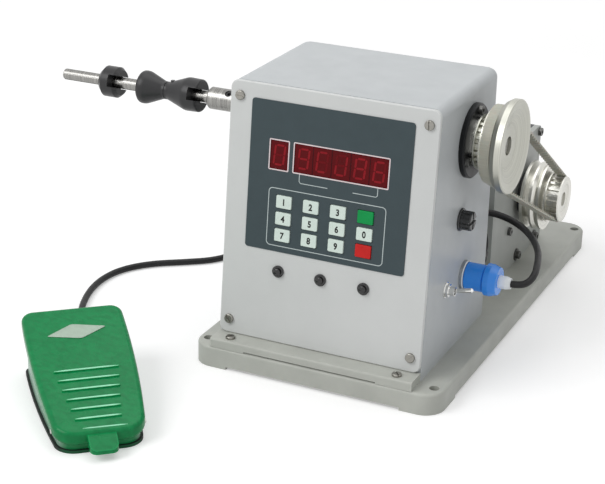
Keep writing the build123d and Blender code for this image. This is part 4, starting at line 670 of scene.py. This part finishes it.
def on_treadle(x, y, lift):
    """A point above the treadle's sloping top, from its own across and along."""
    rise = TREADLE_TOE_HEIGHT + TREADLE_SLOPE * y
    tilt = math.atan(TREADLE_SLOPE)
    y, z = y - lift * math.sin(tilt), rise + lift * math.cos(tilt)
    across = Vector((math.cos(PEDAL_TURN), math.sin(PEDAL_TURN), 0))
    along = Vector((-math.sin(PEDAL_TURN), math.cos(PEDAL_TURN), 0))
    return (PEDAL_TOE + across * x + along * y + Vector((0, 0, z))) * MM


def treadle_plate():
    """A bare pressed plate with a raised rim, four-cornered and slightly askew."""
    corners = [Vector(c) for c in PLATE_CORNERS]
    middle = sum(corners, Vector((0, 0))) / 4
    outline = []
    for index, here in enumerate(corners):
        first = here.lerp(corners[index - 1], PLATE_CORNER_SHARE)
        second = here.lerp(corners[(index + 1) % 4], PLATE_CORNER_SHARE)
        for step in range(PLATE_CORNER_STEPS + 1):
            part = step / PLATE_CORNER_STEPS
            outline.append(first.lerp(here, part).lerp(here.lerp(second, part), part))
    count = len(outline)
    vertices = []
    for scale, lift in PLATE_LEVELS:
        for point in outline:
            spot = middle + (point - middle) * scale
            vertices.append(on_treadle(spot.x, spot.y, lift))
    faces = []
    for level in range(len(PLATE_LEVELS) - 1):
        a, b = level * count, (level + 1) * count
        faces += [(a + i, a + (i + 1) % count, b + (i + 1) % count, b + i) for i in range(count)]
    faces.append(tuple(range((len(PLATE_LEVELS) - 1) * count, len(PLATE_LEVELS) * count)))
    add_mesh("treadle_plate", vertices, faces, "badge", "treadle_body")


def crown(name, start, end, half_width, surface):
    """A rounded bead on the treadle, tapered at its ends, at a height over its top. Its shape catches real
    light, and its light green is a painted highlight.
    """
    start, end = Vector(start), Vector(end)
    low, high = surface - CROWN_SINK, surface + CROWN_RISE
    way = (end - start).normalized()
    side = Vector((-way.y, way.x))
    vertices, faces = [], []
    for step in range(CROWN_STEPS + 1):
        part = step / CROWN_STEPS
        taper = min(1.0, CROWN_TIP + CROWN_TAPER * min(part, 1 - part))
        spot = start.lerp(end, part)
        for across, rise in CROWN_PROFILE:
            place = spot + side * across * half_width * taper
            vertices.append(on_treadle(place.x, place.y, low + (high - low) * rise * taper))
    row = len(CROWN_PROFILE)
    for step in range(CROWN_STEPS):
        for index in range(row - 1):
            a = step * row + index
            faces.append((a, a + row, a + row + 1, a + 1))
    add_mesh(name, vertices, faces, "green_painted_highlight", "treadle_body", True)


treadle_plate()
# Beads on the ribs and the front edge, in light green as a painted highlight.
for index in range(RIB_COUNT):
    rib_y = RIB_FIRST + index * RIB_PITCH
    rib_half = (RIB_LENGTH + index * RIB_GROWTH) / 2 - CROWN_SHORT
    crown(f"rib_crown_{index}", (-rib_half, rib_y), (rib_half, rib_y), RIB_CROWN_HALF, RIB_TOP)
crown("front_edge_painted_highlight", EDGE_CROWN_START, EDGE_CROWN_END, EDGE_CROWN_HALF, 0.0)

SPRING_WIRE, SPRING_TURNS, SPRING_TRAVEL = 0.7, 6, 4.2
SPRING_AROUND, SPRING_PER_TURN = 8, 24


def return_spring():
    """The treadle's round-wire return spring, drawn as a fixed coil in place of the model's spring. The
    real one shortens as the treadle comes down.
    """
    low, high = (Vector(corner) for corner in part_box("treadle_spring"))
    wire, around = SPRING_WIRE * MM, SPRING_AROUND
    centre = (low + high) / 2
    coil_radius = (high.x - low.x) / 2 - wire
    bottom, top = low.z + wire, high.z - wire
    vertices, faces = [], []
    count = SPRING_TURNS * SPRING_PER_TURN + 1
    for step in range(count):
        a = 2 * math.pi * step / SPRING_PER_TURN
        out = Vector((math.cos(a), math.sin(a), 0))
        height = bottom + (top - bottom) * step / (count - 1)
        spot = Vector((centre.x, centre.y, height)) + out * coil_radius
        for index in range(around):
            b = 2 * math.pi * index / around
            vertices.append(spot + (out * math.cos(b) + Vector((0, 0, math.sin(b)))) * wire)
    for step in range(count - 1):
        for index in range(around):
            a, b = step * around + index, step * around + (index + 1) % around
            faces.append((a, a + around, b + around, b))
    faces += [tuple(range(around)), tuple(range((count - 1) * around, count * around))]
    piece = add_mesh("return_spring", vertices, faces, "pin", "machine", True)
    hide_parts("treadle_spring")
    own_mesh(piece)


return_spring()

# ------------------------------------------------------------------ the cord
CORD_RADIUS = 2.3
CORD_LIES = 2.5
CORD_START = (-143.10, -198.97, 12.0)
CORD_OUT = (-153.07, -187.50, 12.0)
CORD_END = (100.6, -75.6, 60.3)
PEDAL_ROUTE = [
    (-166.5, -169.5, 8.2), (-177.5, -152.5, 3.6), (-187.5, -135.0, CORD_LIES),
    (-196.5, -116.0, CORD_LIES), (-203.0, -96.0, CORD_LIES), (-205.4, -75.5, CORD_LIES),
    (-201.6, -55.5, CORD_LIES), (-188.5, -37.0, CORD_LIES), (-167.5, -22.4, CORD_LIES),
    (-150.0, -9.0, CORD_LIES), (-141.5, 9.0, CORD_LIES),
]
PLUG_ROUTE = [
    (106.9, -75.6, 60.3), (111.7, -71.6, 62.6), (112.6, -63.6, 65.4), (110.4, -53.4, 66.8),
    (107.2, -41.0, 66.2), (103.0, -28.0, 65.6), (95.5, -12.5, 66.2), (84.5, -0.5, 68.6),
    (71.0, 5.0, 72.0), (56.5, 2.0, 75.5), (43.5, -6.0, 74.0), (32.5, -12.0, 65.5),
    (22.0, -14.5, 53.5), (10.5, -14.0, 40.5), (-3.0, -11.5, 28.5), (-20.0, -7.0, 20.0),
    (-41.0, -3.0, 17.3), (-63.0, 0.0, 17.6), (-82.0, 9.0, 20.5), (-93.2, 23.5, 14.0),
]
COIL_QUARTERS, COIL_POINTS_PER_QUARTER = 18, 4
COIL_CENTRE, COIL_RADIUS = (-122.0, 62.0), 27.5
COIL_PITCH, COIL_RISE = 5.4, 5.2
COIL_LEAD_FAR, COIL_LEAD_NEAR = 20.6, 4.6


def coil_point(step):
    """A point of the put-away coil: in on the floor, out again on top."""
    half = COIL_QUARTERS / 2
    inward = min(step, COIL_QUARTERS - step)
    radius = COIL_RADIUS - COIL_PITCH * inward / 4
    angle = math.radians(180.0 - 90 * step)
    climb = min(max((step - half + 1) / 2, 0), 1)
    height = CORD_LIES + COIL_RISE * climb * climb * (3 - 2 * climb)
    return (COIL_CENTRE[0] + radius * math.cos(angle), COIL_CENTRE[1] + radius * math.sin(angle), height)


def coil_lead(end, back, height):
    """A point of the straight run into or out of the coil."""
    return (end[0], end[1] - back, height)


coil_count = COIL_QUARTERS * COIL_POINTS_PER_QUARTER + 1
coil = [coil_point(index / COIL_POINTS_PER_QUARTER) for index in range(coil_count)]
before_coil = [coil_lead(coil[0], back, CORD_LIES) for back in (COIL_LEAD_FAR, COIL_LEAD_NEAR)]
after_coil = [coil_lead(coil[-1], back, coil[-1][2]) for back in (COIL_LEAD_NEAR, COIL_LEAD_FAR)]
route = [
    CORD_START, CORD_OUT, *PEDAL_ROUTE, *before_coil, *coil, *after_coil, *reversed(PLUG_ROUTE), CORD_END,
]


def cord_curve(name, points, look):
    data = bpy.data.curves.new(name, "CURVE")
    data.dimensions = "3D"
    spline = data.splines.new("NURBS")
    spline.points.add(len(points) - 1)
    for point, place in zip(spline.points, points):
        point.co = (place[0] * MM, place[1] * MM, place[2] * MM, 1.0)
    spline.order_u = 3
    spline.use_endpoint_u = True
    spline.resolution_u = 8
    data.bevel_depth = CORD_RADIUS * MM
    data.bevel_resolution = 6
    data.use_fill_caps = True
    piece = bpy.data.objects.new(name, data)
    bpy.context.scene.collection.objects.link(piece)
    data.materials.append(M[look])
    return piece


cord = cord_curve("foot_switch_cord", route, "rubber")
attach(cord, "machine")
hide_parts("pedal_cord", "cord_coil", "plug_cord")

# ------------------------------------------------------------------ floor and light
FLOOR_HALF = 30.0
FLOOR_TONE = 0.80
GLOW_FROM, GLOW_TO = 0.7, 3.0
GLOW_NEAR, GLOW_FAR = 0.34, 0.70
WORLD_LIGHT, WORLD_SEEN = 0.42, 1.0
WHITE = (1, 1, 1, 1)
LAMP_TARGET = (0, 0, 0.08)
LAMPS = (
    ("key", (-1.1, -1.6, 1.8), 1.4, 28.0),
    ("fill", (1.5, -0.9, 1.3), 1.2, 1.8),
    ("top", (0.0, 0.4, 2.2), 1.8, 14.0),
)


def seen_rays(t):
    """1 for what the camera sees, straight, in a mirror or through glass, and 0 for light."""
    path = t.node("ShaderNodeLightPath")
    seen = t.maths("MAXIMUM", path.outputs["Is Camera Ray"], path.outputs["Is Glossy Ray"])
    return t.maths("MAXIMUM", seen, path.outputs["Is Transmission Ray"])


def mix_shader(t, factor, first, second):
    mix = t.node("ShaderNodeMixShader")
    t.link(factor, mix.inputs[0])
    t.link(first, mix.inputs[1])
    t.link(second, mix.inputs[2])
    return mix.outputs["Shader"]


def make_floor():
    """A pale floor that stays white far off and keeps the object's shadow."""
    s = FLOOR_HALF
    mesh = bpy.data.meshes.new("floor")
    mesh.from_pydata([(-s, -s, 0), (s, -s, 0), (s, s, 0), (-s, s, 0)], [], [(0, 1, 2, 3)])
    floor = bpy.data.objects.new("floor", mesh)
    bpy.context.scene.collection.objects.link(floor)
    material = new_material("floor_look")
    t = Tree(material)
    diffuse = t.node("ShaderNodeBsdfDiffuse")
    diffuse.inputs["Color"].default_value = (FLOOR_TONE, FLOOR_TONE, FLOOR_TONE, 1)
    glow = t.node("ShaderNodeEmission")
    glow.inputs["Color"].default_value = WHITE
    reach = t.vector("LENGTH", t.node("ShaderNodeNewGeometry").outputs["Position"])
    t.link(t.levels(reach, GLOW_FROM, GLOW_TO, GLOW_NEAR, GLOW_FAR), glow.inputs["Strength"])
    add = t.node("ShaderNodeAddShader")
    t.link(diffuse.outputs["BSDF"], add.inputs[0])
    t.link(glow.outputs["Emission"], add.inputs[1])
    output = t.node("ShaderNodeOutputMaterial")
    shown = mix_shader(t, seen_rays(t), diffuse.outputs["BSDF"], add.outputs["Shader"])
    t.link(shown, output.inputs["Surface"])
    mesh.materials.append(material)


def make_world():
    """White to the eye, and softer as a light."""
    world = bpy.data.worlds.new("world")
    world.use_nodes = True
    bpy.context.scene.world = world
    world.node_tree.nodes.clear()
    t = Tree(world)
    skies = []
    for strength in (WORLD_LIGHT, WORLD_SEEN):
        sky = t.node("ShaderNodeBackground")
        sky.inputs["Color"].default_value = WHITE
        sky.inputs["Strength"].default_value = strength
        skies.append(sky.outputs["Background"])
    output = t.node("ShaderNodeOutputWorld")
    t.link(mix_shader(t, seen_rays(t), *skies), output.inputs["Surface"])


def softbox(name, place, size, power):
    data = bpy.data.lights.new(name, "AREA")
    data.shape = "RECTANGLE"
    data.size = data.size_y = size
    data.energy = power
    lamp = bpy.data.objects.new(name, data)
    way = (Vector(LAMP_TARGET) - Vector(place)).normalized()
    lamp.matrix_world = Matrix.Translation(place) @ way.to_track_quat("-Z", "Y").to_matrix().to_4x4()
    bpy.context.scene.collection.objects.link(lamp)


make_floor()
make_world()
for lamp_values in LAMPS:
    softbox(*lamp_values)

bpy.context.scene.view_settings.view_transform = "Standard"
